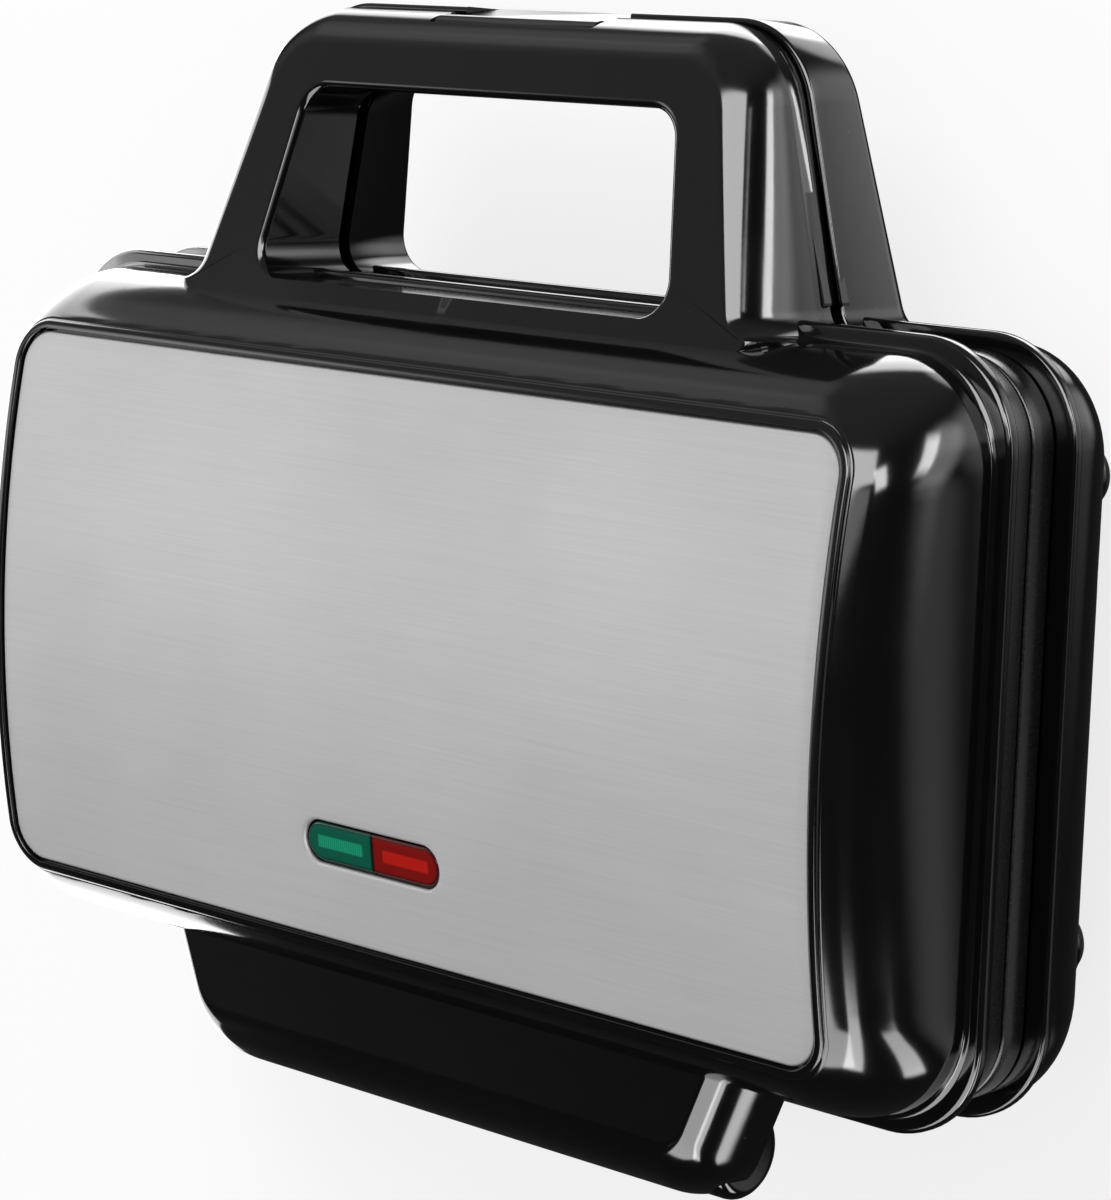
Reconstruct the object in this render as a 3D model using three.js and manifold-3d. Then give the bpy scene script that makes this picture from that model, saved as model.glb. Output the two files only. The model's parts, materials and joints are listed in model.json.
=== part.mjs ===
// Two-slice sandwich maker with a hinged lid, split carrying handle and latch clip
// Millimetres, +Z up, on its feet, handle towards -Y, hinge towards +Y, lid closed
import * as THREE from "three";
import { mergeVertices } from "three/addons/utils/BufferGeometryUtils.js";
import Module from "manifold-3d";

const wasm = await Module();
wasm.setup();

// Shared clearances and counts
const gap = 0.3; // between pieces that touch on the real product
const overrun = 2; // how far a cut runs past the faces it opens
const rightAngle = Math.PI / 2;
const cornerSteps = 4;
const sideSteps = 6; // along the crowned sides
const roundSteps = 4; // over a rounded edge
const roundSides = 20;
const smallSides = 12;
const wideSides = 28; // round the hinge
const tubeSides = 8;
const wireSides = 6;
const wireSteps = 20;

// Driving sizes of the body, measured from its middle and from the parting plane
const flangeHalfWidth = 135; // lid flange
const flangeHalfLength = 76.75;
const flangeCorner = 21.5;
const baseFlangeExtra = 1; // the base flange stands this far beyond the lid flange at the sides
const waistInset = 3.6; // the waist between the flanges is recessed from the lid flange
const lidFlangeLow = 8.5; // heights above the parting plane
const lidFlangeThickness = 3.1;
const shellInset = 3.5; // lid shell wall, in from the lid flange
const shellCorner = 21;
const baseFlangeLow = 7; // depths below the parting plane
const baseFlangeThickness = 2.6;
const baseWallInset = 2;
const baseWallDepth = 12.5;
const baseRoundWidth = 18;
const baseBottomCorner = 12;
const baseRoundDepth = 19;
const shellWall = 2.5;
const edgeBreak = 0.5;

// Steel panel and the pad that carries it
const panelSideInset = 16.9; // panel edge, in from the lid flange
const panelEndInset = 17.2;
const panelCorner = 7.7;
const panelThickness = 0.8;
const panelEdgeHeight = 38.6;
const panelCrown = 6.2; // rise of the panel's middle over its front and rear edges
const panelGap = 0.6; // round the panel, to the ridge
const ridgeWidth = 1.3;
const ridgeRise = 0.6; // ridge over the panel
const ridgeSlope = 1.7;
const shoulderStart = 14; // height where the shoulder leaves the shell's wall
const shoulderDrop = 1.1; // the shoulder meets the ridge this far under the panel
const shoulderTurn = 1.36; // angle of the quarter ellipse that the shoulder uses, in radians
const shoulderCorner = 15; // corner radius where the shoulder meets the ridge
const shoulderSteps = 6;

// Handle halves
const gapHalf = 1.6; // half the open gap between the two handle halves
const handleReach = 56.85; // from the lid flange to the handle's tip
const handleFootHalf = 84.5; // half width where the legs meet the body
const handleTipHalf = 69;
const handleCorner = 20;
const lidTipSetback = 1; // the lid half stops this much short of the base half
const lidHandleDraft = 1.8; // each half narrows this much from the gap to its face
const lidHandleRound = 8;
const baseHandleDraft = 0.5;
const baseHandleRound = 3;
const handleFlare = 5;
const handleWall = 2.6;
const lidHandleFootDepth = 25.2; // face heights at the body and at the tip
const lidHandleTipDepth = 12.7;
const baseHandleFootDepth = 23.4;
const baseHandleTipDepth = 16.8;
const gripDepth = 18.6; // from the handle's tip to the opening
const openingFootInset = 1.55; // the opening's foot, in from the lid flange
const openingTipHalf = 51.9;
const openingFootHalf = 59.3;
const openingCorner = 7;
const lidOpeningDraft = 0.6;
const baseOpeningDraft = 3.5;
const openingRound = 1.6;
const openingSteps = 3;
const coverThickness = 2;
const coverRebate = 1.2;

// Hinge
const pinBehind = 15.25; // pins, behind the lid flange
const pinHeight = 4.5;
const pinRadius = 2.5;
const pinInner = 38.5;
const pinOuter = 66;
const barrelHalf = 73;
const barrelRadius = 10;
const knuckleHalf = 57.5;
const knuckleRadius = 8.8;
const hingeRunning = 0.8; // round the knuckle, under the hinge cover
const coverRootInset = 6.75; // root of the hinge cover, in from the lid flange
const coverFrontHalf = 85.6;
const coverRearHalf = 72;
const coverCorner = 15;
const coverRearRound = 15; // how far the rear edge rounds off, over the pins
const coverSideSteps = 3;
const coverTop = 24.5;
const coverRound = 8;
const coverDraft = 2.6; // the cover narrows this much from its round edge down to the pins
const armRearInset = 2.5; // the arm's rear face, in front of the pins
const armTop = -1.2;
const armDepth = 20;
const standHalf = 42;
const standTop = 19;
const standCorner = 8;

// Feet
const footSideInset = 22; // foot centres, in from the lid flange
const footEndInset = 29.75;
const footPostRadius = 9;
const footPostHeight = 5.5;
const footRadius = 7;
const footHeight = 4;
const screwHeadRadius = 3.4;
const screwHeadHeight = 1.9;
const screwHeadEdgeShare = 0.7; // of the head's radius
const screwHeadFaceShare = 0.8; // of the head's height
const screwRadius = 1.75;
const screwLength = 14;

// Cooking plates, elements and reflectors
const plateGap = 0.5; // rim of each plate to the parting plane
const plateRim = 3;
const plateMargin = 3.8; // plate edge, in from the waist's outside
const plateLedge = 3.4;
const plateLedgeThickness = 2.6;
const tongueHeight = 13;
const tongueWall = 2;
const pocketMidHalf = 4; // half the land between the two squares
const pocketSideInset = 10.9; // pocket edge, in from the waist's outside
const pocketEndInset = 11.15;
const pocketRidgeHalf = 3.5; // half the diagonal ridge
const pocketDepth = 13;
const pocketDraft = 8.6;
const pocketCorner = 6;
const pocketWall = 2.4;
const pocketInsetShares = [0, 0.11, 0.19, 0.54, 0.72, 1];
const pocketDepthShares = [0, 0.05, 0.13, 0.77, 0.93, 1];
const elementRadius = 3.25;
const elementSideInset = 23; // middle of the element's run, in from the reflector's edge
const elementEndInset = 18;
const elementBend = 14;
const elementTailX = 12;
const elementTailReach = 11; // how far its two ends stand out behind the reflector
const elementSteps = 40;
const reflectorBossGap = 2; // to the bosses of the foot screws
const reflectorEndInset = 10; // in from the pockets' ends
const reflectorCorner = 10;
const reflectorSheet = 0.8;
const postRadius = 4;
const postX = 60;
const postEndInset = 8;

// Indicator
const lensInset = 21.25; // middle of the lenses, in from the panel's rear edge
const lensHalfLength = 19.5;
const lensRadius = 4.15;
const lensSplit = 0.15; // half the line between the two colours
const lensProud = 0.5;
const lensFlange = 1.3;
const lensFlangeThickness = 1.4;
const lensCutGap = 0.45;
const lampRadius = 2.6;
const lampHalfLength = 7;
const holderWall = 1.6;
const holderDepth = 7.6;

// Latch clip
const latchHalf = 23;
const latchPivotInset = 4.3; // pivot, in from the handle's tip
const latchPivotHeight = 6;
const latchKnuckle = 2.6;
const latchPinRadius = 1.25;
const latchPinGrip = 2.2;
const latchThickness = 2.2;
const latchFaceInset = 2.4;
const latchTopHeight = 8.4;
const latchBottomDepth = 12.2;
const latchLip = 1.9;
const latchLipThickness = 1.8;
const latchLipSlopeShare = 0.7; // of the lip's thickness, where its slope starts
const latchRecess = 7;
const latchRecessTop = 9.6;
const latchRecessBottom = 13.4;
const latchBack = 2.2;
const catchRise = 2.1;
const catchThickness = 1.5;
const latchRestDegrees = 7;
const latchRestTurn = (latchRestDegrees * Math.PI) / 180;

// Small inner pieces
const thermostatRadius = 7;
const thermostatHeight = 5.6;
const thermostatStepShare = 0.6; // of its height
const thermostatCapShare = 0.8; // of its radius
const thermostatX = 40;
const thermostatY = -12;
const terminalStem = 1.2;
const fuseRadius = 2.2;
const fuseHalfLength = 11;
const fuseX = -36;
const fuseY = 8;
const inletX = 66;
const inletDepth = 19.5;
const inletFaceInset = 0.75;
const inletBossRadius = 9;
const inletRadius = 5.6;
const inletFlangeRadius = 7.6;
const inletFlangeThickness = 2;
const inletReach = 9;
const inletInner = 5.5;
const inletBore = 2.9;
const inletNoseRadius = 4.9;
const terminalHalfX = 16;
const terminalHalfY = 5.5;
const terminalHeight = 4.8;
const terminalX = 62;
const terminalY = 26;
const wireRadius = 1.5;
const wireBend = 3;
const wireBehind = 4.5; // the wires climb to the elements' ends this far behind the reflectors
const baseWireX = 34;
const lidWireX = -3;
const ventHalfLength = 14;
const ventHalfWidth = 1.6;
const ventPitch = 8;
const ventsPerGroup = 5;
const ventGroupX = 52;

// Places and heights that follow from the sizes above
const panelHalfWidth = flangeHalfWidth - panelSideInset;
const panelHalfLength = flangeHalfLength - panelEndInset;
const lensY = panelHalfLength - lensInset;
const handleTipY = -flangeHalfLength - handleReach;
const openingTipY = handleTipY + gripDepth;
const openingFootY = openingFootInset - flangeHalfLength;
const pinY = flangeHalfLength + pinBehind;
const coverFrontY = flangeHalfLength - coverRootInset;
const armRearY = pinY - armRearInset;
const inletFaceY = flangeHalfLength - inletFaceInset;
const footX = flangeHalfWidth - footSideInset;
const footY = flangeHalfLength - footEndInset;
const baseDepth = baseWallDepth + baseRoundDepth;
const partingZ = baseDepth + footPostHeight + footHeight;
const shiftY = (-handleTipY - pinY - barrelRadius) / 2; // puts the part's middle on Y = 0
const waistHalfWidth = flangeHalfWidth - waistInset;
const waistHalfLength = flangeHalfLength - waistInset;
const waistCorner = flangeCorner - waistInset;
const pocketOuterX = waistHalfWidth - pocketSideInset;
const pocketHalfLength = waistHalfLength - pocketEndInset;
const reflectorHalfWidth = footX - postRadius - reflectorBossGap;
const reflectorHalfLength = pocketHalfLength - reflectorEndInset;
const postY = reflectorHalfLength - postEndInset;
const elementHalfWidth = reflectorHalfWidth - elementSideInset;
const elementHalfLength = reflectorHalfLength - elementEndInset;
const elementTailY = reflectorHalfLength + elementTailReach;
const wireRise = reflectorHalfLength + wireBehind;
const shellHalfWidth = flangeHalfWidth - shellInset;
const shellHalfLength = flangeHalfLength - shellInset;
const floorHeight = panelEdgeHeight - panelThickness - gap;
const rimBack = plateGap + plateRim;
const pocketBack = plateGap + pocketDepth + pocketWall;
const elementHeight = pocketBack + gap + elementRadius;
const reflectorLow = elementHeight + elementRadius + gap;
const reflectorTop = reflectorLow + reflectorSheet;
const tipRecessY = handleTipY + latchRecess;
const footPostDepth = baseDepth + footPostHeight;

// Materials
const material = (colour, roughness, metalness) =>
  new THREE.MeshStandardMaterial({ color: colour, roughness, metalness });
const glossBlack = material(0x101012, 0.12, 0);
const mattBlack = material(0x1a1a1c, 0.55, 0);
const steel = material(0xb9bbbd, 0.32, 1);
const coating = material(0x232326, 0.4, 0.2);
const elementMetal = material(0x6f6a63, 0.45, 0.9);
const sheetMetal = material(0xa9acae, 0.35, 0.9);
const greenPlastic = material(0x0a6650, 0.15, 0);
const redPlastic = material(0x9c1410, 0.15, 0);
const whitePlastic = material(0xd9d5cb, 0.5, 0);
const lampGlass = material(0xe8d8c8, 0.08, 0);
const rubber = material(0x202022, 0.85, 0);
const copperWire = material(0xb8372c, 0.6, 0);

// A three.js geometry as a manifold-3d solid, and back
function solid(geometry) {
  const bare = geometry.clone();
  bare.deleteAttribute("normal");
  bare.deleteAttribute("uv");
  const merged = mergeVertices(bare);
  return new wasm.Manifold(
    new wasm.Mesh({
      numProp: 3,
      vertProperties: merged.attributes.position.array,
      triVerts: new Uint32Array(merged.index.array),
    }),
  );
}

function geometryOf(body) {
  const mesh = body.getMesh();
  const geometry = new THREE.BufferGeometry();
  geometry.setAttribute("position", new THREE.BufferAttribute(mesh.vertProperties, 3));
  geometry.setIndex(new THREE.BufferAttribute(mesh.triVerts, 1));
  const flat = geometry.toNonIndexed();
  flat.computeVertexNormals();
  return flat;
}

const join = (first, ...others) => others.reduce((body, other) => body.add(other), first);
const cut = (first, ...others) => others.reduce((body, other) => body.subtract(other), first);

const object = new THREE.Group();
const assembly = new THREE.Group();
assembly.position.set(0, shiftY, partingZ);
object.add(assembly);

function addPiece(name, body, look, parent = assembly) {
  const mesh = new THREE.Mesh(geometryOf(body), look);
  mesh.name = name;
  parent.add(mesh);
  return mesh;
}

// Closed skin over rings of points, every ring with the same count; the end caps are strips
// between the points that face each other across the ring
function skin(rings) {
  const count = rings[0].length;
  const index = [];
  rings.slice(1).forEach((ring, level) => {
    for (let i = 0; i < count; i++) {
      const a = level * count + i;
      const b = level * count + ((i + 1) % count);
      index.push(a, b, b + count, a, b + count, a + count);
    }
  });
  const top = (rings.length - 1) * count;
  for (let i = 0; i + 1 < count / 2; i++) {
    const across = count - 1 - i;
    index.push(top + i, top + i + 1, top + across - 1, top + i, top + across - 1, top + across);
    index.push(i, across - 1, i + 1, i, across, across - 1);
  }
  const geometry = new THREE.BufferGeometry();
  geometry.setAttribute("position", new THREE.Float32BufferAttribute(rings.flat(2), 3));
  geometry.setIndex(index);
  const body = solid(geometry);
  if (body.volume() >= 0) return body;
  for (let i = 0; i < index.length; i += 3) [index[i + 1], index[i + 2]] = [index[i + 2], index[i + 1]];
  geometry.setIndex(index);
  return solid(geometry);
}

// Right half of an outline that narrows towards the front, with round corners, from front to rear
function taperedHalf({ frontY, rearY, frontHalf, rearHalf, frontRadius, rearRadius, steps = 1 }) {
  const slope = (rearHalf - frontHalf) / (rearY - frontY);
  const stretch = Math.hypot(1, slope);
  const sideTurn = Math.atan2(-slope, 1);
  const frontX = frontHalf + slope * frontRadius - stretch * frontRadius;
  const rearX = rearHalf - slope * rearRadius - stretch * rearRadius;
  const points = [];
  for (let i = 0; i <= cornerSteps; i++) {
    const turn = -rightAngle + ((sideTurn + rightAngle) * i) / cornerSteps;
    points.push([
      frontX + frontRadius * Math.cos(turn),
      frontY + frontRadius + frontRadius * Math.sin(turn),
    ]);
  }
  const rearStart = [
    rearX + rearRadius * Math.cos(sideTurn),
    rearY - rearRadius + rearRadius * Math.sin(sideTurn),
  ];
  const frontEnd = points[points.length - 1];
  for (let i = 1; i < steps; i++) {
    const share = i / steps;
    points.push([
      frontEnd[0] + (rearStart[0] - frontEnd[0]) * share,
      frontEnd[1] + (rearStart[1] - frontEnd[1]) * share,
    ]);
  }
  for (let i = 0; i <= cornerSteps; i++) {
    const turn = sideTurn + ((rightAngle - sideTurn) * i) / cornerSteps;
    points.push([
      rearX + rearRadius * Math.cos(turn),
      rearY - rearRadius + rearRadius * Math.sin(turn),
    ]);
  }
  return points;
}

const rectangleHalf = (halfWidth, halfLength, radius, steps = 1) =>
  taperedHalf({
    frontY: -halfLength,
    rearY: halfLength,
    frontHalf: halfWidth,
    rearHalf: halfWidth,
    frontRadius: radius,
    rearRadius: radius,
    steps,
  });

// Loft through levels that are mirrored in X: { outline, height(y) }
function loft(levels, side = 1) {
  return skin(
    levels.map(({ outline, height }) => {
      const right = outline.map(([x, y]) => [x, y, side * height(y)]);
      return [...right, ...right.map(([x, y, z]) => [-x, y, z]).reverse()];
    }),
  );
}

// Level of a rounded rectangle, drawn in by an inset; one that is crowned has steps along its sides
const level = (halfWidth, halfLength, radius, inset, height, steps = 1) => ({
  outline: rectangleHalf(
    halfWidth - inset,
    halfLength - inset,
    Math.max(radius - inset, edgeBreak * 2),
    steps,
  ),
  height: typeof height === "function" ? height : () => height,
});

function box(low, high) {
  const size = high.map((value, i) => value - low[i]);
  const geometry = new THREE.BoxGeometry(...size);
  geometry.translate(...low.map((value, i) => value + size[i] / 2));
  return solid(geometry);
}

// Cylinders along X, Y and Z
function rodX(radius, fromX, toX, y, z, sides = roundSides) {
  const geometry = new THREE.CylinderGeometry(radius, radius, toX - fromX, sides);
  geometry.rotateZ(rightAngle);
  geometry.translate((fromX + toX) / 2, y, z);
  return solid(geometry);
}

function rodY(radius, fromY, toY, x, z, sides = roundSides) {
  const geometry = new THREE.CylinderGeometry(radius, radius, toY - fromY, sides);
  geometry.translate(x, (fromY + toY) / 2, z);
  return solid(geometry);
}

function rodZ(radius, fromZ, toZ, x, y, sides = roundSides) {
  const geometry = new THREE.CylinderGeometry(radius, radius, toZ - fromZ, sides);
  geometry.rotateX(rightAngle);
  geometry.translate(x, y, (fromZ + toZ) / 2);
  return solid(geometry);
}

// Revolved profile of [radius, height] points that starts and ends on the axis or closes on itself
function turned(profile, sides = roundSides) {
  const points = profile.map(([radius, height]) => new THREE.Vector2(radius, height));
  const geometry = new THREE.LatheGeometry(points, sides);
  const body = solid(geometry);
  if (body.volume() >= 0) return geometry;
  return new THREE.LatheGeometry(points.reverse(), sides);
}

// Side profile of [y, z] points, run along X
function profileX(points, fromX, toX) {
  const shape = new THREE.Shape(points.map(([y, z]) => new THREE.Vector2(y, z)));
  const geometry = new THREE.ExtrudeGeometry(shape, { depth: toX - fromX, bevelEnabled: false });
  const turn = new THREE.Matrix4().makeBasis(
    new THREE.Vector3(0, 1, 0),
    new THREE.Vector3(0, 0, 1),
    new THREE.Vector3(1, 0, 0),
  );
  geometry.applyMatrix4(turn);
  geometry.translate(fromX, 0, 0);
  return solid(geometry);
}

// Round tube along straight runs with rounded corners
function tube(points, radius, bend, steps, sides = tubeSides) {
  const path = new THREE.CurvePath();
  const corners = points.map((point) => new THREE.Vector3(...point));
  let start = corners[0];
  for (let i = 1; i + 1 < corners.length; i++) {
    const into = corners[i].clone().sub(corners[i - 1]).normalize();
    const out = corners[i + 1].clone().sub(corners[i]).normalize();
    const before = corners[i].clone().addScaledVector(into, -bend);
    const after = corners[i].clone().addScaledVector(out, bend);
    path.add(new THREE.LineCurve3(start, before));
    path.add(new THREE.QuadraticBezierCurve3(before, corners[i], after));
    start = after;
  }
  path.add(new THREE.LineCurve3(start, corners[corners.length - 1]));
  const section = new THREE.Shape(
    Array.from({ length: sides }, (_, i) => {
      const turn = (4 * rightAngle * i) / sides;
      return new THREE.Vector2(radius * Math.cos(turn), radius * Math.sin(turn));
    }),
  );
  return solid(new THREE.ExtrudeGeometry(section, { steps, bevelEnabled: false, extrudePath: path }));
}

// Crown of the pad: height over the panel's ends, falling off as a circle's chord does
const crownAt = (y) => panelCrown * (1 - (y / panelHalfLength) ** 2);

// Lid shell: flange, wall, round shoulder, ridge and the recess for the panel
const ridgeOuter = panelGap + ridgeWidth;
const shoulderInsetX = shellHalfWidth - panelHalfWidth - ridgeOuter - ridgeSlope;
const shoulderInsetY = shellHalfLength - panelHalfLength - ridgeOuter - ridgeSlope;
const shoulderTop = panelEdgeHeight - shoulderDrop;

function shoulderLevels(inward, topHeight, steps) {
  return Array.from({ length: steps + 1 }, (_, i) => {
    const turn = (shoulderTurn * i) / steps;
    const across = (1 - Math.cos(turn)) / (1 - Math.cos(shoulderTurn));
    const up = Math.sin(turn) / Math.sin(shoulderTurn);
    const insetX = inward + shoulderInsetX * across;
    const insetY = inward + shoulderInsetY * across;
    const corner = shellCorner - inward - (shellCorner - shoulderCorner) * across ** 2;
    return {
      outline: rectangleHalf(shellHalfWidth - insetX, shellHalfLength - insetY, corner, sideSteps),
      height: (y) => shoulderStart + (topHeight - shoulderStart + crownAt(y)) * up,
    };
  });
}

const padLevel = (outward, height) =>
  level(
    panelHalfWidth,
    panelHalfLength,
    panelCorner,
    -outward,
    (y) => height + crownAt(y),
    sideSteps,
  );
const flangeLevel = (inset, height) =>
  level(flangeHalfWidth, flangeHalfLength, flangeCorner, inset, height, sideSteps);
const shellLevel = (inset, height) =>
  level(shellHalfWidth, shellHalfLength, shellCorner, inset, height, sideSteps);
const lidFlangeTop = lidFlangeLow + lidFlangeThickness;
const ridgeTop = panelEdgeHeight + ridgeRise;
const lidBody = loft([
  flangeLevel(edgeBreak, lidFlangeLow),
  flangeLevel(0, lidFlangeLow + edgeBreak),
  flangeLevel(0, lidFlangeTop - edgeBreak * 2),
  flangeLevel(edgeBreak * 2, lidFlangeTop),
  shellLevel(-edgeBreak, lidFlangeTop + edgeBreak),
  shellLevel(0, lidFlangeTop + edgeBreak * 2),
  ...shoulderLevels(0, shoulderTop, shoulderSteps),
  padLevel(ridgeOuter + edgeBreak, ridgeTop - edgeBreak / 2),
  padLevel(ridgeOuter, ridgeTop),
  padLevel(panelGap + edgeBreak / 2, ridgeTop),
  padLevel(panelGap, ridgeTop - edgeBreak / 2),
  padLevel(panelGap, floorHeight),
]);
const ceilingHeight = floorHeight - shellWall;
const lidCavity = loft([
  shellLevel(shellWall, -overrun),
  ...shoulderLevels(shellWall, ceilingHeight, shoulderSteps - 2),
]);

// Base shell body: flange, short wall and wide rounding to a flat bottom
const baseHalfWidth = flangeHalfWidth + baseFlangeExtra;
const baseLevel = (inset, height) =>
  level(baseHalfWidth, flangeHalfLength, flangeCorner, inset, height);
const baseRound = (inward, depth, steps) =>
  Array.from({ length: steps + 1 }, (_, i) => {
    const turn = (rightAngle * i) / steps;
    const across = 1 - Math.cos(turn);
    const inset = baseWallInset + inward + baseRoundWidth * across;
    const corner = flangeCorner - baseWallInset - inward;
    return {
      outline: rectangleHalf(
        baseHalfWidth - inset,
        flangeHalfLength - inset,
        corner - (flangeCorner - baseBottomCorner) * across ** 2,
      ),
      height: () => baseWallDepth + depth * Math.sin(turn),
    };
  });
const baseFlangeEnd = baseFlangeLow + baseFlangeThickness;
const baseBody = loft(
  [
    baseLevel(edgeBreak, baseFlangeLow),
    baseLevel(0, baseFlangeLow + edgeBreak),
    baseLevel(0, baseFlangeEnd - edgeBreak),
    baseLevel(edgeBreak, baseFlangeEnd),
    baseLevel(baseWallInset, baseFlangeEnd + edgeBreak),
    ...baseRound(0, baseRoundDepth, shoulderSteps),
  ],
  -1,
);
const baseCavity = loft(
  [
    baseLevel(baseWallInset + shellWall, -overrun),
    ...baseRound(shellWall, baseRoundDepth - shellWall, shoulderSteps - 1),
  ],
  -1,
);

// Handle half: a tapered loop with round outer edges, hollow, open towards the gap
function handleOutline(inset, setback) {
  return taperedHalf({
    frontY: handleTipY + setback + inset,
    rearY: -shellHalfLength + handleWall,
    frontHalf: handleTipHalf - inset,
    rearHalf: handleFootHalf - inset,
    frontRadius: handleCorner - inset,
    rearRadius: edgeBreak * 2,
  });
}

function openingOutline(grow) {
  return taperedHalf({
    frontY: openingTipY - grow,
    rearY: openingFootY,
    frontHalf: openingTipHalf + grow,
    rearHalf: openingFootHalf + grow,
    frontRadius: openingCorner + grow / 2,
    rearRadius: openingCorner,
  });
}

// Concave web that flares the legs into the body
function flareOutline(inset) {
  const wallY = -shellHalfLength;
  const slope = (handleFootHalf - handleTipHalf) / (-shellHalfLength - handleTipY);
  const legX = handleFootHalf - inset - slope * handleFlare;
  const points = [];
  for (let i = 0; i <= cornerSteps; i++) {
    const turn = (rightAngle * i) / cornerSteps;
    points.push([
      legX + handleFlare * (1 - Math.cos(turn)),
      wallY - handleFlare * (1 - Math.sin(turn)),
    ]);
  }
  points.push([legX + handleFlare, wallY + handleWall]);
  return points;
}

function makeHandle({ side, footDepth, tipDepth, setback, draft, round, openingDraft }) {
  const face = (y) =>
    footDepth + ((tipDepth - footDepth) * (y + shellHalfLength)) / (handleTipY + shellHalfLength);
  const levelsOf = (outlineAt) => [
    { outline: outlineAt(edgeBreak, setback), height: () => gapHalf },
    { outline: outlineAt(0, setback), height: () => gapHalf + edgeBreak },
    ...Array.from({ length: roundSteps + 1 }, (_, i) => {
      const turn = (rightAngle * i) / roundSteps;
      return {
        outline: outlineAt(draft + round * (1 - Math.cos(turn)), setback),
        height: (y) => face(y) - round * (1 - Math.sin(turn)),
      };
    }),
  ];
  const openingLevels = [
    { outline: openingOutline(0), height: () => -overrun },
    { outline: openingOutline(0), height: () => gapHalf },
    { outline: openingOutline(openingDraft), height: (y) => face(y) - openingRound },
    ...Array.from({ length: openingSteps }, (_, i) => {
      const turn = (rightAngle * (i + 1)) / openingSteps;
      return {
        outline: openingOutline(openingDraft + openingRound * (1 - Math.cos(turn))),
        height: (y) => face(y) - openingRound * (1 - Math.sin(turn)),
      };
    }),
    {
      outline: openingOutline(openingDraft + openingRound),
      height: (y) => face(y) + overrun,
    },
  ];
  const wallInside = -shellHalfLength - handleWall * 2;
  const mouthDepth = gapHalf + coverThickness + gap;
  const hollowOutline = (inset) =>
    taperedHalf({
      frontY: handleTipY + setback + inset,
      rearY: wallInside,
      frontHalf: handleTipHalf - inset,
      rearHalf: handleFootHalf - inset,
      frontRadius: handleCorner - inset,
      rearRadius: edgeBreak * 2,
    });
  const islandOutline = (grow) =>
    taperedHalf({
      frontY: openingTipY - grow,
      rearY: wallInside + overrun,
      frontHalf: openingTipHalf + grow,
      rearHalf: openingFootHalf + grow,
      frontRadius: openingCorner + grow,
      rearRadius: edgeBreak * 2,
    });
  const prismBetween = (outline, low, high) =>
    loft(
      [
        { outline, height: () => low },
        { outline, height: typeof high === "function" ? high : () => high },
      ],
      side,
    );
  const hollowTop = (y) => face(y) - handleWall;
  const hollow = cut(
    loft(
      [
        { outline: hollowOutline(handleWall), height: () => -overrun },
        { outline: hollowOutline(handleWall + draft), height: (y) => face(y) - round - handleWall },
        { outline: hollowOutline(handleWall + draft + round / 2), height: hollowTop },
      ],
      side,
    ),
    prismBetween(
      islandOutline(openingDraft + openingRound + handleWall),
      -overrun * 2,
      (y) => face(y) + overrun,
    ),
  );
  const rebate = cut(
    prismBetween(hollowOutline(handleWall - coverRebate), -overrun, mouthDepth),
    prismBetween(islandOutline(handleWall - coverRebate), -overrun * 2, mouthDepth + overrun),
  );
  const seam = handleWall - coverRebate + gap;
  const cover = cut(
    prismBetween(hollowOutline(seam), gapHalf, gapHalf + coverThickness),
    prismBetween(islandOutline(seam), -overrun, mouthDepth + overrun),
  );
  const outer = join(loft(levelsOf(handleOutline), side), loft(levelsOf(flareOutline), side));
  const opened = cut(outer, loft(openingLevels, side));
  // room for the latch clip across the tip, with a wall behind it
  const recessHeights = side > 0 ? [-overrun, latchRecessTop] : [-latchRecessBottom, overrun];
  const backingHeights =
    side > 0
      ? [gapHalf, latchRecessTop + handleWall]
      : [-latchRecessBottom - handleWall, -gapHalf];
  const backing = box(
    [-latchHalf - handleWall * 2, handleTipY + handleWall, backingHeights[0]],
    [latchHalf + handleWall * 2, tipRecessY + latchBack, backingHeights[1]],
  );
  const recess = box(
    [-latchHalf - gap * 2, handleTipY - overrun, recessHeights[0]],
    [latchHalf + gap * 2, tipRecessY, recessHeights[1]],
  );
  const body = cut(join(cut(opened, hollow, rebate), backing.intersect(opened)), recess);
  const coverTrim = box(
    [-latchHalf - handleWall * 2 - gap, handleTipY - overrun, -tongueHeight],
    [latchHalf + handleWall * 2 + gap, tipRecessY + latchBack + gap, tongueHeight],
  );
  const through = loft(
    [
      { outline: openingOutline(0), height: () => -overrun },
      { outline: openingOutline(0), height: () => baseWallDepth },
    ],
    side,
  );
  return { body, cover: cut(cover, coverTrim), through };
}

// Ring that is cut away so that the waist frame stays clear of the handle root
const frameRoom = (side, top) =>
  loft(
    [
      level(waistHalfWidth + gap, waistHalfLength + gap, waistCorner + gap, 0, -overrun),
      level(waistHalfWidth + gap, waistHalfLength + gap, waistCorner + gap, 0, top),
    ],
    side,
  );

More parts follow.
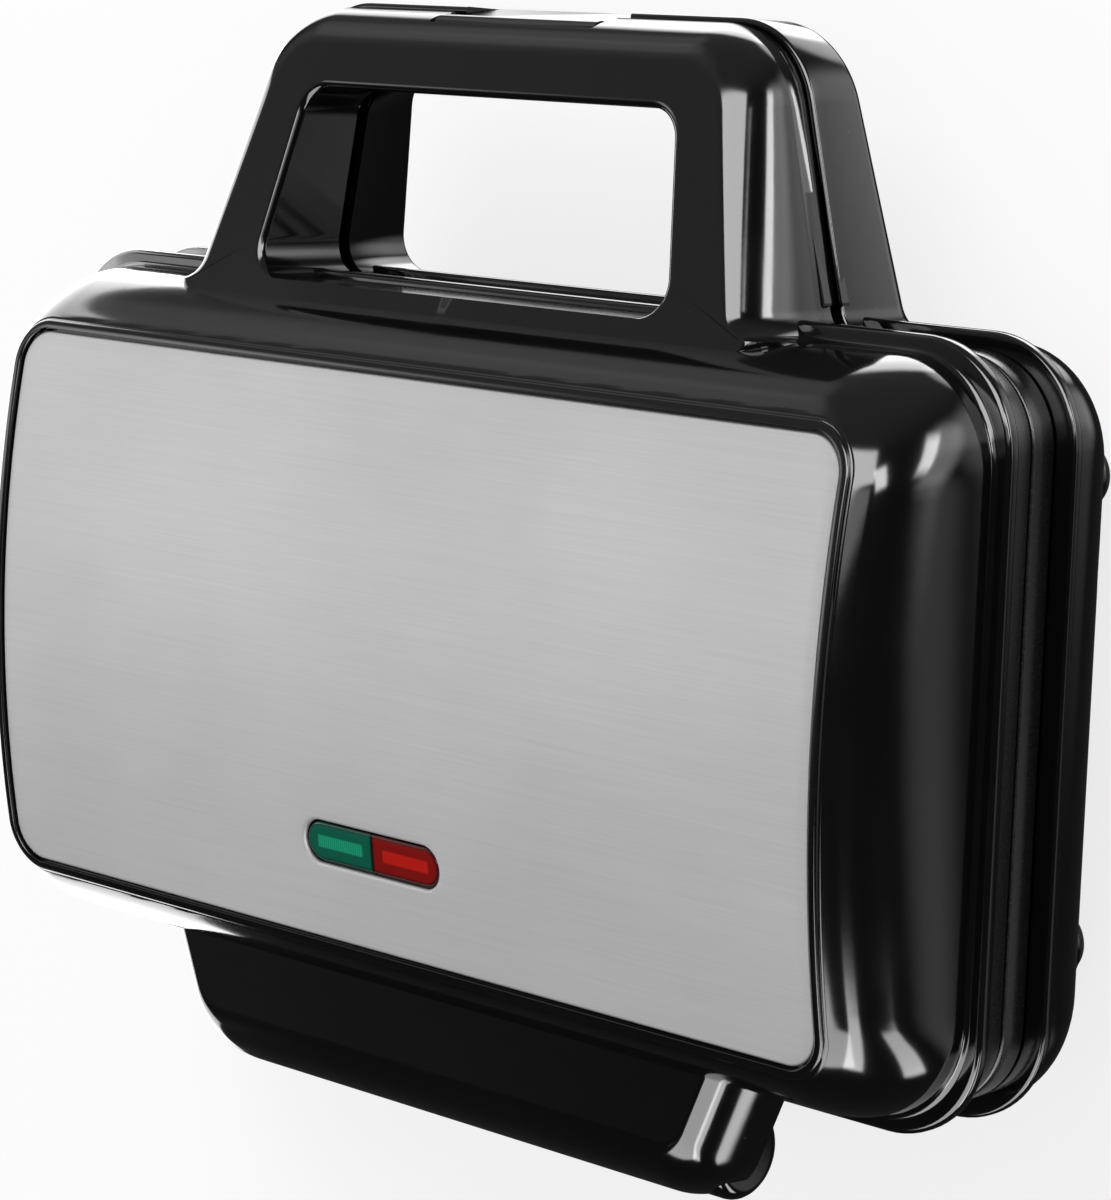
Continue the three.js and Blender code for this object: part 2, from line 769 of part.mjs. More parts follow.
// Hinge cover on the lid: flat top, round rear edge and corners, barrels at both ends
function coverOutline(inset, rearInset = 0) {
  return taperedHalf({
    frontY: coverFrontY,
    rearY: pinY + barrelRadius - rearInset,
    frontHalf: coverFrontHalf - inset,
    rearHalf: coverRearHalf - inset,
    frontRadius: edgeBreak * 2,
    rearRadius: coverCorner - inset,
  });
}
const coverLevel = (inset, height) => {
  const rearTurn = Math.asin((height - pinHeight) / (coverTop - pinHeight));
  return {
    outline: coverOutline(inset, coverRearRound * (1 - Math.cos(rearTurn))),
    height: () => height,
  };
};
const coverLevels = [
  ...Array.from({ length: coverSideSteps }, (_, i) => {
    const share = i / coverSideSteps;
    const rise = coverTop - coverRound - pinHeight;
    return coverLevel(coverDraft * (1 - share), pinHeight + rise * share);
  }),
  ...Array.from({ length: roundSteps + 1 }, (_, i) => {
    const turn = (rightAngle * i) / roundSteps;
    return coverLevel(
      coverRound * (1 - Math.cos(turn)),
      coverTop - coverRound * (1 - Math.sin(turn)),
    );
  }),
];
const coverPlan = loft([
  { outline: coverOutline(0), height: () => pinHeight - barrelRadius - overrun },
  { outline: coverOutline(0), height: () => pinHeight + overrun },
]);
const barrel = rodX(barrelRadius, -barrelHalf, barrelHalf, pinY, pinHeight, wideSides);
const knuckleRoom = knuckleHalf + gap * 2;
const hingeCover = cut(
  join(loft(coverLevels), barrel.intersect(coverPlan)),
  rodX(knuckleRadius + hingeRunning, -knuckleRoom, knuckleRoom, pinY, pinHeight, wideSides),
  box(
    [-knuckleRoom, flangeHalfLength + edgeBreak, -barrelRadius * 2],
    [knuckleRoom, pinY + barrelRadius + overrun, pinHeight + edgeBreak * 2],
  ),
);
const pinBores = [-1, 1].map((hand) =>
  rodX(
    pinRadius + gap,
    Math.min(hand * (pinInner - gap), hand * (pinOuter + gap)),
    Math.max(hand * (pinInner - gap), hand * (pinOuter + gap)),
    pinY,
    pinHeight,
    smallSides,
  ),
);

// Indicator opening through the pad
function stadium(halfLength, radius, low, high) {
  const shape = new THREE.Shape();
  shape.absarc(halfLength - radius, 0, radius, -rightAngle, rightAngle, false);
  shape.absarc(radius - halfLength, 0, radius, rightAngle, 3 * rightAngle, false);
  const geometry = new THREE.ExtrudeGeometry(shape, {
    depth: high - low,
    bevelEnabled: false,
    curveSegments: 8,
  });
  geometry.translate(0, lensY, low);
  return solid(geometry);
}
const lensTop = panelEdgeHeight + crownAt(lensY) + lensProud;
const lensCeiling = ceilingHeight + crownAt(lensY + lensRadius) - gap;
const lensLow = lensCeiling - lensFlangeThickness;
const lensHole = stadium(
  lensHalfLength + gap,
  lensRadius + gap,
  lensLow,
  lensTop + overrun,
);
const panelHole = stadium(
  lensHalfLength + lensCutGap,
  lensRadius + lensCutGap,
  lensLow,
  lensTop + overrun,
);

// Posts that hold the reflector down, from a shell's inside to the reflector
const posts = (side, depthAt) =>
  [-1, 1].flatMap((handX) =>
    [-1, 1].map((handY) =>
      rodZ(
        postRadius,
        Math.min(side * (reflectorTop + gap), side * depthAt(postY)),
        Math.max(side * (reflectorTop + gap), side * depthAt(postY)),
        handX * postX,
        handY * postY,
        smallSides,
      ),
    ),
  );

const lidHandle = makeHandle({
  side: 1,
  footDepth: lidHandleFootDepth,
  tipDepth: lidHandleTipDepth,
  setback: lidTipSetback,
  draft: lidHandleDraft,
  round: lidHandleRound,
  openingDraft: lidOpeningDraft,
});
const latchPivotY = handleTipY + latchPivotInset;
const latchPinBore = rodX(
  latchPinRadius + gap,
  -latchHalf - latchPinGrip - gap * 2,
  latchHalf + latchPinGrip + gap * 2,
  latchPivotY,
  latchPivotHeight,
  smallSides,
);
const lidShell = cut(
  join(
    cut(
      join(
        cut(join(lidBody, hingeCover), lidCavity, lidHandle.through),
        cut(lidHandle.body, lidCavity),
      ),
      frameRoom(1, lidFlangeLow - gap),
    ),
    ...posts(1, (y) => ceilingHeight + crownAt(y) + gap),
  ),
  ...pinBores,
  lensHole,
  latchPinBore,
);
addPiece("lid_shell", lidShell, glossBlack);
addPiece("upper_handle_cover", lidHandle.cover, mattBlack);

// Steel panel, crowned and bent down a little at its edge
const panelLevel = (inset, height) =>
  level(
    panelHalfWidth,
    panelHalfLength,
    panelCorner,
    inset,
    (y) => height + crownAt(y),
    sideSteps,
  );
const panelBottom = panelEdgeHeight - panelThickness;
addPiece(
  "steel_panel",
  cut(
    loft([
      panelLevel(0, panelBottom),
      panelLevel(0, panelEdgeHeight - panelThickness / 3),
      panelLevel(panelThickness / 2, panelEdgeHeight),
    ]),
    panelHole,
  ),
  steel,
);

// Lenses, one per lamp, each half of the stadium with a flange under the pad
function makeLens(hand) {
  const stem = stadium(lensHalfLength, lensRadius, lensLow, lensTop);
  const flange = stadium(
    lensHalfLength + lensFlange,
    lensRadius + lensFlange,
    lensLow,
    lensCeiling,
  );
  const half = box(
    [hand > 0 ? lensSplit : -lensHalfLength * 2, 0, lensLow - overrun],
    [hand > 0 ? lensHalfLength * 2 : -lensSplit, lensY * 2, lensTop + overrun],
  );
  return join(stem, flange).intersect(half);
}
addPiece("green_lens", makeLens(1), greenPlastic);
addPiece("red_lens", makeLens(-1), redPlastic);

// Lamp holder: a trough under the lenses, with a divider; the lamps lie in it
const holderTop = lensLow - gap;
const holderLow = holderTop - holderDepth;
const holderHalfX = lensHalfLength + lensFlange;
const holderHalfY = lampRadius + gap + holderWall;
const troughLow = holderLow + holderWall;
const lampZ = troughLow + gap + lampRadius;
const lampX = lensHalfLength / 2;
addPiece(
  "lamp_holder",
  cut(
    box([-holderHalfX, lensY - holderHalfY, holderLow], [holderHalfX, lensY + holderHalfY, holderTop]),
    ...[-1, 1].map((hand) =>
      box(
        [hand * lampX - lampHalfLength - gap, lensY - lampRadius - gap, troughLow],
        [hand * lampX + lampHalfLength + gap, lensY + lampRadius + gap, holderTop + overrun],
      ),
    ),
  ),
  whitePlastic,
);
for (const [name, hand] of [["green_lamp", 1], ["red_lamp", -1]]) {
  addPiece(
    name,
    rodX(
      lampRadius,
      hand * lampX - lampHalfLength,
      hand * lampX + lampHalfLength,
      lensY,
      lampZ,
      smallSides,
    ),
    lampGlass,
  );
}

// Waist frame that carries a cooking plate
function makeFrame(side, bandTop, tongueHalfWidth, tongueHalfLength, tongueCorner) {
  const waistLevel = (inset, height) =>
    level(waistHalfWidth, waistHalfLength, waistCorner, inset, height);
  const tongueLevel = (inset, height) =>
    level(tongueHalfWidth, tongueHalfLength, tongueCorner, inset, height);
  const outer = loft(
    [
      waistLevel(edgeBreak, gap),
      waistLevel(0, gap + edgeBreak),
      waistLevel(0, bandTop),
      tongueLevel(0, bandTop),
      tongueLevel(0, tongueHeight),
    ],
    side,
  );
  const seat = plateMargin - gap;
  const ledgeTop = rimBack + gap + plateLedgeThickness;
  return cut(
    outer,
    loft([waistLevel(seat, -overrun), waistLevel(seat, rimBack + gap)], side),
    loft([waistLevel(seat + plateLedge, 0), waistLevel(seat + plateLedge, tongueHeight)], side),
    loft([tongueLevel(tongueWall, ledgeTop), tongueLevel(tongueWall, tongueHeight + overrun)], side),
  );
}
const lidTongue = shellInset + shellWall + gap;
const baseTongue = baseWallInset + shellWall + gap + edgeBreak;
addPiece(
  "upper_frame",
  makeFrame(
    1,
    lidFlangeLow - gap,
    flangeHalfWidth - lidTongue,
    flangeHalfLength - lidTongue,
    shellCorner - shellWall - gap,
  ),
  mattBlack,
);
addPiece(
  "lower_frame",
  makeFrame(
    -1,
    baseFlangeLow - gap,
    baseHalfWidth - baseTongue,
    flangeHalfLength - baseTongue,
    flangeCorner - baseTongue,
  ),
  mattBlack,
);

// Cooking plate: rim with four triangular pockets pressed into it, two for each sandwich
function roundedTriangle(corners, edgeInsets, inset, radius) {
  const edges = corners.map((start, i) => {
    const end = corners[(i + 1) % 3];
    const length = Math.hypot(end[0] - start[0], end[1] - start[1]);
    const outward = [(end[1] - start[1]) / length, (start[0] - end[0]) / length];
    const back = edgeInsets[i] + inset + radius;
    return { point: [start[0] - outward[0] * back, start[1] - outward[1] * back], outward };
  });
  return edges.flatMap((next, i) => {
    const last = edges[(i + 2) % 3];
    const [a, b] = last.outward;
    const [c, d] = next.outward;
    const lastReach = a * last.point[0] + b * last.point[1];
    const nextReach = c * next.point[0] + d * next.point[1];
    const area = a * d - b * c;
    const centre = [(lastReach * d - nextReach * b) / area, (nextReach * a - lastReach * c) / area];
    const from = Math.atan2(b, a);
    let to = Math.atan2(d, c);
    if (to < from) to += 4 * rightAngle;
    return Array.from({ length: cornerSteps + 1 }, (_, step) => {
      const turn = from + ((to - from) * step) / cornerSteps;
      return [centre[0] + radius * Math.cos(turn), centre[1] + radius * Math.sin(turn)];
    });
  });
}

function pocket(corners, edgeInsets, side, wall) {
  const ring = (inset, height) =>
    roundedTriangle(corners, edgeInsets, inset, pocketCorner).map(([x, y]) => [x, y, side * height]);
  const rings = pocketInsetShares.map((share, i) =>
    ring(pocketDraft * share - wall, plateGap + (pocketDepth + wall) * pocketDepthShares[i]),
  );
  if (wall > 0) rings[0] = ring(-wall, rimBack - plateRim / 3);
  if (wall > 0) rings.splice(1, 1);
  if (wall === 0) rings.unshift(ring(0, -overrun));
  return skin(rings);
}

function makePlate(side) {
  const inner = pocketMidHalf;
  const outer = pocketOuterX;
  const reach = pocketHalfLength;
  const sets = [1, -1].flatMap((hand) => {
    const mirror = (list) => (hand > 0 ? list : list.map(([x, y]) => [-x, y]).reverse());
    const front = mirror([[inner, -reach], [outer, -reach], [outer, reach]]);
    const rear = mirror([[inner, -reach], [outer, reach], [inner, reach]]);
    const longest = (list) =>
      list.map(([x, y], i) => {
        const [nextX, nextY] = list[(i + 1) % 3];
        return x !== nextX && y !== nextY ? pocketRidgeHalf : 0;
      });
    return [
      [front, longest(front)],
      [rear, longest(rear)],
    ];
  });
  const plateLevel = (inset, height) =>
    level(waistHalfWidth, waistHalfLength, waistCorner, plateMargin + inset, height);
  const slab = loft(
    [
      plateLevel(edgeBreak, plateGap),
      plateLevel(0, plateGap + edgeBreak),
      plateLevel(0, rimBack),
    ],
    side,
  );
  return cut(
    join(slab, ...sets.map(([corners, insets]) => pocket(corners, insets, side, pocketWall))),
    ...sets.map(([corners, insets]) => pocket(corners, insets, side, 0)),
  );
}
addPiece("upper_plate", makePlate(1), coating);
addPiece("lower_plate", makePlate(-1), coating);

// Tubular element on the backs of the pockets, with its two ends turned towards the rear
function makeElement(side) {
  const z = side * elementHeight;
  return tube(
    [
      [elementTailX, elementTailY, z],
      [elementTailX, elementHalfLength, z],
      [elementHalfWidth, elementHalfLength, z],
      [elementHalfWidth, -elementHalfLength, z],
      [-elementHalfWidth, -elementHalfLength, z],
      [-elementHalfWidth, elementHalfLength, z],
      [-elementTailX, elementHalfLength, z],
      [-elementTailX, elementTailY, z],
    ],
    elementRadius,
    elementBend,
    elementSteps,
  );
}
addPiece("upper_element", makeElement(1), elementMetal);
addPiece("lower_element", makeElement(-1), elementMetal);

// Reflector tray over an element, its edge turned down to the pockets' backs
function makeReflector(side) {
  const tray = (inset, height) =>
    level(reflectorHalfWidth, reflectorHalfLength, reflectorCorner, inset, height);
  const notches = [-1, 1].map((hand) => {
    const ends = [side * (pocketBack - overrun), side * (elementHeight + elementRadius)];
    return box(
      [
        hand * elementTailX - elementRadius - gap,
        reflectorHalfLength - elementRadius,
        Math.min(...ends),
      ],
      [hand * elementTailX + elementRadius + gap, elementTailY, Math.max(...ends)],
    );
  });
  return cut(
    loft(
      [tray(0, pocketBack + gap), tray(0, reflectorTop - edgeBreak), tray(edgeBreak, reflectorTop)],
      side,
    ),
    loft([tray(reflectorSheet, 0), tray(reflectorSheet, reflectorLow)], side),
    ...notches,
  );
}
addPiece("upper_reflector", makeReflector(1), sheetMetal);
addPiece("lower_reflector", makeReflector(-1), sheetMetal);

// Thermostat on the upper plate's back, thermal fuse on the reflector
const thermostat = turned([
  [0, 0],
  [thermostatRadius, 0],
  [thermostatRadius, thermostatHeight * thermostatStepShare],
  [thermostatRadius * thermostatCapShare, thermostatHeight * thermostatStepShare],
  [thermostatRadius * thermostatCapShare, thermostatHeight],
  [0, thermostatHeight],
]);
thermostat.rotateX(rightAngle);
thermostat.translate(thermostatX, thermostatY, pocketBack + gap);
addPiece("thermostat", solid(thermostat), sheetMetal);
const fuse = turned(
  [
    [0, -fuseHalfLength - fuseRadius * 2],
    [terminalStem / 2, -fuseHalfLength - fuseRadius * 2],
    [terminalStem / 2, -fuseHalfLength],
    [fuseRadius, -fuseHalfLength],
    [fuseRadius, fuseHalfLength],
    [terminalStem / 2, fuseHalfLength],
    [terminalStem / 2, fuseHalfLength + fuseRadius * 2],
    [0, fuseHalfLength + fuseRadius * 2],
  ],
  smallSides,
);
fuse.rotateZ(rightAngle);
fuse.translate(fuseX, fuseY, reflectorTop + gap + fuseRadius);
addPiece("thermal_fuse", solid(fuse), whitePlastic);

// Latch clip on the lid's handle half; modelled hooked, then turned out to where it rests unhooked
const latchOuterY = handleTipY + latchFaceInset;
const latchInnerY = latchOuterY + latchThickness;
const clipProfile = [
  [latchOuterY, -latchBottomDepth + edgeBreak],
  [latchOuterY + edgeBreak, -latchBottomDepth],
  [latchInnerY + latchLip, -latchBottomDepth],
  [latchInnerY + latchLip, -latchBottomDepth + latchLipThickness * latchLipSlopeShare],
  [latchInnerY, -latchBottomDepth + latchLipThickness],
  [latchInnerY, latchPivotHeight],
  [latchInnerY, latchTopHeight],
  [latchOuterY + edgeBreak, latchTopHeight],
  [latchOuterY, latchTopHeight - edgeBreak],
].map(([y, z]) => [y - latchPivotY, z - latchPivotHeight]);
const clipBody = cut(
  join(
    profileX(clipProfile, -latchHalf, latchHalf),
    rodX(latchKnuckle, -latchHalf, latchHalf, 0, 0),
  ),
  rodX(latchPinRadius + gap, -latchHalf - overrun, latchHalf + overrun, 0, 0, smallSides),
);
const latchPivot = new THREE.Group();
latchPivot.position.set(0, latchPivotY, latchPivotHeight);
latchPivot.rotation.x = -latchRestTurn;
assembly.add(latchPivot);
addPiece("latch_clip", clipBody, glossBlack, latchPivot);
addPiece(
  "latch_pin",
  rodX(
    latchPinRadius,
    -latchHalf - latchPinGrip,
    latchHalf + latchPinGrip,
    latchPivotY,
    latchPivotHeight,
    smallSides,
  ),
  steel,
);

// Base shell: body, handle half with the catch for the clip, hinge arm, stand, foot posts and vents
const baseHandle = makeHandle({
  side: -1,
  footDepth: baseHandleFootDepth,
  tipDepth: baseHandleTipDepth,
  setback: 0,
  draft: baseHandleDraft,
  round: baseHandleRound,
  openingDraft: baseOpeningDraft,
});
const catchTop = -latchBottomDepth + latchLipThickness + gap;
const catchRidge = profileX(
  [
    [tipRecessY + overrun / 2, catchTop],
    [tipRecessY - catchRise + edgeBreak, catchTop],
    [tipRecessY - catchRise, catchTop + edgeBreak],
    [tipRecessY - catchRise, catchTop + catchThickness - edgeBreak],
    [tipRecessY, catchTop + catchThickness + catchRise],
    [tipRecessY + overrun / 2, catchTop + catchThickness + catchRise],
  ],
  -latchHalf + gap * 3,
  latchHalf - gap * 3,
);
const knuckle = join(
  rodX(knuckleRadius, -knuckleHalf, knuckleHalf, pinY, pinHeight, wideSides),
  profileX(
    [
      [waistHalfLength + gap * 2, -armDepth],
      [armRearY, -armDepth],
      [armRearY, pinHeight],
      [pinY - knuckleRadius + edgeBreak, pinHeight],
      [flangeHalfLength + edgeBreak * 4, armTop],
      [waistHalfLength + gap * 2, armTop],
    ],
    -knuckleHalf,
    knuckleHalf,
  ),
);
const standOutline = (inset) =>
  taperedHalf({
    frontY: coverFrontY - standCorner,
    rearY: pinY + barrelRadius - inset,
    frontHalf: standHalf - inset,
    rearHalf: standHalf - inset,
    frontRadius: edgeBreak * 2,
    rearRadius: standCorner - inset,
  });
const stand = loft(
  [
    { outline: standOutline(edgeBreak * 2), height: () => standTop },
    { outline: standOutline(0), height: () => standTop + edgeBreak * 2 },
    { outline: standOutline(0), height: () => baseDepth - edgeBreak * 2 },
    { outline: standOutline(edgeBreak * 2), height: () => baseDepth },
  ],
  -1,
);
const feetPlaces = [-1, 1].flatMap((handY) => [-1, 1].map((handX) => [handX * footX, handY * footY]));
const footPosts = feetPlaces.map(([x, y]) =>
  rodZ(footPostRadius, -footPostDepth, -baseDepth + shellWall, x, y),
);
const screwBoss = feetPlaces.map(([x, y]) =>
  rodZ(postRadius, -baseDepth, -footPostDepth + screwLength + shellWall, x, y, smallSides),
);
const screwBores = feetPlaces.map(([x, y]) =>
  rodZ(
    screwRadius + gap,
    -footPostDepth - overrun,
    -footPostDepth + screwLength + gap,
    x,
    y,
    smallSides,
  ),
);
const inletBoss = rodY(inletBossRadius, waistHalfLength - shellWall, inletFaceY, inletX, -inletDepth);
const inletHole = rodY(
  inletRadius + gap,
  waistHalfLength - shellWall * 3,
  inletFaceY + overrun,
  inletX,
  -inletDepth,
);
const vents = [-1, 1].flatMap((hand) =>
  Array.from({ length: ventsPerGroup }, (_, i) => {
    const y = (i - (ventsPerGroup - 1) / 2) * ventPitch;
    return box(
      [hand * ventGroupX - ventHalfLength, y - ventHalfWidth, -baseDepth - overrun],
      [hand * ventGroupX + ventHalfLength, y + ventHalfWidth, -baseDepth + shellWall + overrun],
    );
  }),
);
const baseShell = cut(
  join(
    cut(
      join(
        cut(join(baseBody, knuckle, stand, inletBoss), baseCavity, baseHandle.through),
        cut(join(baseHandle.body, catchRidge), baseCavity),
      ),
      frameRoom(-1, baseFlangeLow - gap),
    ),
    ...footPosts,
    ...screwBoss,
    ...posts(-1, () => baseDepth - shellWall / 2),
  ),
  ...pinBores,
  ...screwBores,
  ...vents,
  inletHole,
);
addPiece("base_shell", baseShell, glossBlack);
addPiece("lower_handle_cover", baseHandle.cover, mattBlack);

// Hinge pins
for (const [name, hand] of [["hinge_pin_left", -1], ["hinge_pin_right", 1]]) {
  const ends = [hand * pinInner, hand * pinOuter].sort((a, b) => a - b);
  addPiece(name, rodX(pinRadius, ends[0], ends[1], pinY, pinHeight, smallSides), steel);
}

// Rubber feet, each with a countersunk screw up into the base
const placeNames = ["front_left", "front_right", "rear_left", "rear_right"];
feetPlaces.forEach(([x, y], i) => {
  const seat = footHeight - gap - screwHeadHeight;
  const foot = turned([
    [screwRadius + gap, seat / 2],
    [screwHeadRadius + gap, seat / 2],
    [screwHeadRadius + gap, footHeight - gap],
    [footRadius - edgeBreak, footHeight - gap],
    [footRadius, footHeight - gap - edgeBreak],
    [footRadius, 0],
    [screwRadius + gap, 0],
    [screwRadius + gap, seat / 2],
  ]);
  foot.rotateX(-rightAngle);
  foot.translate(x, y, -footPostDepth - gap);
  addPiece("foot_" + placeNames[i], solid(foot), rubber);
  const headBack = seat / 2 + gap;
  const screw = turned(
    [
      [0, -screwLength],
      [screwRadius, -screwLength],
      [screwRadius, headBack],
      [screwHeadRadius, headBack],
      [screwHeadRadius, headBack + screwHeadHeight / 2],
      [screwHeadRadius * screwHeadEdgeShare, headBack + screwHeadHeight * screwHeadFaceShare],
      [0, headBack + screwHeadHeight * screwHeadFaceShare],
    ],
    smallSides,
  );
  screw.rotateX(-rightAngle);
  screw.translate(x, y, -footPostDepth);
  addPiece("foot_screw_" + placeNames[i], solid(screw), steel);
});

// Cord inlet in the rear wall, beside the hinge arm
const inlet = turned([
  [inletBore, -inletInner],
  [inletRadius, -inletInner],
  [inletRadius, gap],
  [inletFlangeRadius, gap],
  [inletFlangeRadius, gap + inletFlangeThickness],
  [inletRadius, gap + inletFlangeThickness + edgeBreak],
  [inletNoseRadius, gap + inletReach],
  [inletBore, gap + inletReach],
  [inletBore, -inletInner],
]);
inlet.translate(inletX, inletFaceY, -inletDepth);
addPiece("cord_inlet", solid(inlet), mattBlack);

// Terminal block on the base's floor, and the wiring to the elements
const floorZ = -baseDepth + shellWall;
const blockTop = floorZ + gap + terminalHeight;
addPiece(
  "terminal_block",
  cut(
    box(
      [terminalX - terminalHalfX, terminalY - terminalHalfY, floorZ + gap],
      [terminalX + terminalHalfX, terminalY + terminalHalfY, blockTop],
    ),
    ...[-1, 0, 1].map((i) =>
      rodZ(
        screwRadius,
        blockTop - terminalHeight / 2,
        blockTop + overrun,
        terminalX + (i * terminalHalfX * 2) / 3,
        terminalY,
        smallSides,
      ),
    ),
  ),
  whitePlastic,
);

const wireZ = floorZ + gap + wireRadius;
addPiece(
  "supply_wire",
  tube(
    [
      [inletX, inletFaceY - inletBore, -inletDepth],
      [inletX, wireRise, -inletDepth],
      [inletX, wireRise, wireZ],
      [inletX, terminalY + terminalHalfY + gap, wireZ],
    ],
    wireRadius,
    wireBend,
    wireSteps,
    wireSides,
  ),
  copperWire,
);
addPiece(
  "lower_element_wire",
  tube(
    [
      [terminalX - terminalHalfX - gap, terminalY, wireZ],
      [baseWireX, terminalY, wireZ],
      [baseWireX, wireRise, wireZ],
      [baseWireX, wireRise, -elementHeight],
      [elementTailX + elementRadius + gap, wireRise, -elementHeight],
    ],
    wireRadius,
    wireBend,
    wireSteps,
    wireSides,
  ),
  copperWire,
);
const lidWireZ = reflectorTop + gap + wireRadius;
addPiece(
  "upper_element_wire",
  tube(
    [
      [fuseX + fuseHalfLength + fuseRadius * 2 + gap, fuseY, lidWireZ],
      [lidWireX, fuseY, lidWireZ],
      [lidWireX, wireRise, lidWireZ],
      [lidWireX, wireRise, elementHeight],
      [-elementTailX + elementRadius + gap, wireRise, elementHeight],
    ],
    wireRadius,
    wireBend,
    wireSteps,
    wireSides,
  ),
  copperWire,
);

export default object;
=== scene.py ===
import bpy
import json
import math
import numpy as np
from mathutils import Matrix, Vector

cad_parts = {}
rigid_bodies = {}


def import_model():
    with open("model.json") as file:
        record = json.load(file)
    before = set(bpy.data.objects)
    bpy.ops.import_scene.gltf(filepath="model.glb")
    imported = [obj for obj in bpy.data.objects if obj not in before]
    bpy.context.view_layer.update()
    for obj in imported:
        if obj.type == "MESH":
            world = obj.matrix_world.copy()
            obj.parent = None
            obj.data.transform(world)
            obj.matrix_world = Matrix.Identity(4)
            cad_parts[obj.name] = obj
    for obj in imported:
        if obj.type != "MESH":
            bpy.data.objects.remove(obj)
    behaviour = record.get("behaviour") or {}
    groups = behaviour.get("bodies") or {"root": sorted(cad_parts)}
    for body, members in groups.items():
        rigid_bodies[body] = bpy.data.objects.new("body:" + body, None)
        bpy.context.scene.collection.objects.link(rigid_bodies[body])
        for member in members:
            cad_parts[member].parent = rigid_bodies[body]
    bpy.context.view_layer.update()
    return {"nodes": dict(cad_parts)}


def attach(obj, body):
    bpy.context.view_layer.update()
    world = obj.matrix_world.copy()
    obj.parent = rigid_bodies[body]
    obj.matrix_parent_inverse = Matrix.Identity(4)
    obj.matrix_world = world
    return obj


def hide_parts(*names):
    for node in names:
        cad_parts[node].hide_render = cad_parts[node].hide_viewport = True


# Sandwich maker, closed, on its feet. Lengths in the dictionaries are millimetres: x across,
# y towards the hinge from the body's middle, h up from the parting plane between the two plates.

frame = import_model()
shiftY = 15.8          # the body's middle lies behind the part's middle
partingZ = 41.0        # parting plane over the worktop


# helpers for materials
def hexColour(text):
    # sRGB hex to linear, one channel at a time
    values = [int(text[i:i + 2], 16) / 255 for i in (1, 3, 5)]
    return tuple(v / 12.92 if v <= 0.04045 else ((v + 0.055) / 1.055) ** 2.4 for v in values) + (1.0,)


def linkTo(tree, node, sources):
    # each of the node's sockets gets another node's first output, or the output that is named
    for key, source in sources.items():
        output = source.outputs[0] if hasattr(source, "outputs") else source
        tree.links.new(output, node.inputs[key])


def addNode(tree, kind, settings=None, links=None, stops=()):
    # one node; settings go to its fields or sockets, links to its sockets, stops to its colour ramp
    node = tree.nodes.new("ShaderNode" + kind)
    for key, value in (settings or {}).items():
        if isinstance(key, str) and hasattr(node, key):
            setattr(node, key, value)
        else:
            node.inputs[key].default_value = value
    linkTo(tree, node, links or {})
    if stops:
        band = node.color_ramp.elements
        while len(band) < len(stops):
            band.new(0.5)
        for element, (place, colour) in zip(band, stops):
            element.position = place
            element.color = hexColour(colour) if isinstance(colour, str) else (colour, colour, colour, 1)
    return node


def newMaterial(name, shaderSettings):
    # Principled material; gives back material, tree, shader and object coordinates in mm
    material = bpy.data.materials.new(name)
    material.use_nodes = True
    tree = material.node_tree
    tree.nodes.clear()
    shader = addNode(tree, "BsdfPrincipled", shaderSettings)
    addNode(tree, "OutputMaterial", links={"Surface": shader})
    place = addNode(tree, "TexCoord")
    inMm = addNode(tree, "Mapping", {"Scale": (1000, 1000, 1000)}, {"Vector": place.outputs["Object"]})
    return material, tree, shader, inMm


def grainedMaterial(name, shaderSettings, pitch, detail, colours, depth=0.0, roughness=()):
    # one noise, its marks a pitch in mm apart, gives colour, relief of a depth in mm and roughness
    material, tree, shader, inMm = newMaterial(name, shaderSettings)
    grain = addNode(tree, "TexNoise", {"Scale": 1 / pitch, "Detail": detail}, {"Vector": inMm})
    linkTo(tree, shader, {"Base Color": addNode(tree, "ValToRGB", links={0: grain}, stops=colours)})
    if roughness:
        linkTo(tree, shader, {"Roughness": addNode(tree, "ValToRGB", links={0: grain}, stops=roughness)})
    if depth:
        linkTo(tree, shader, {"Normal": addNode(tree, "Bump", {"Distance": depth / 1000}, {"Height": grain})})
    return material


# materials
def makeGlossPlastic():
    # ABS from a polished mould: deep black, faint orange peel, a few dust specks
    dustPitch, smearPitch, peelPitch, peelDepth = 11.765, 33.33, 6.25, 0.012
    material, tree, shader, inMm = newMaterial("polishedBlackAbs", {"IOR": 1.53})
    dust = addNode(tree, "TexVoronoi", {"Scale": 1 / dustPitch, "Randomness": 1.0}, {"Vector": inMm})
    smear = addNode(tree, "TexNoise", {"Scale": 1 / smearPitch, "Detail": 4.0, "Roughness": 0.6},
                    {"Vector": inMm})
    peel = addNode(tree, "TexNoise", {"Scale": 1 / peelPitch, "Detail": 2.0}, {"Vector": inMm})
    specks = [(0.0, "#6a6a68"), (0.016, "#3a3a3a"), (0.028, "#0b0b0c"), (1.0, "#0b0b0c")]
    linkTo(tree, shader, {
        "Base Color": addNode(tree, "ValToRGB", links={0: dust.outputs["Distance"]}, stops=specks),
        "Roughness": addNode(tree, "ValToRGB", links={0: smear}, stops=[(0.3, 0.08), (0.75, 0.14)]),
        "Normal": addNode(tree, "Bump", {"Distance": peelDepth / 1000}, {"Height": peel})})
    return material


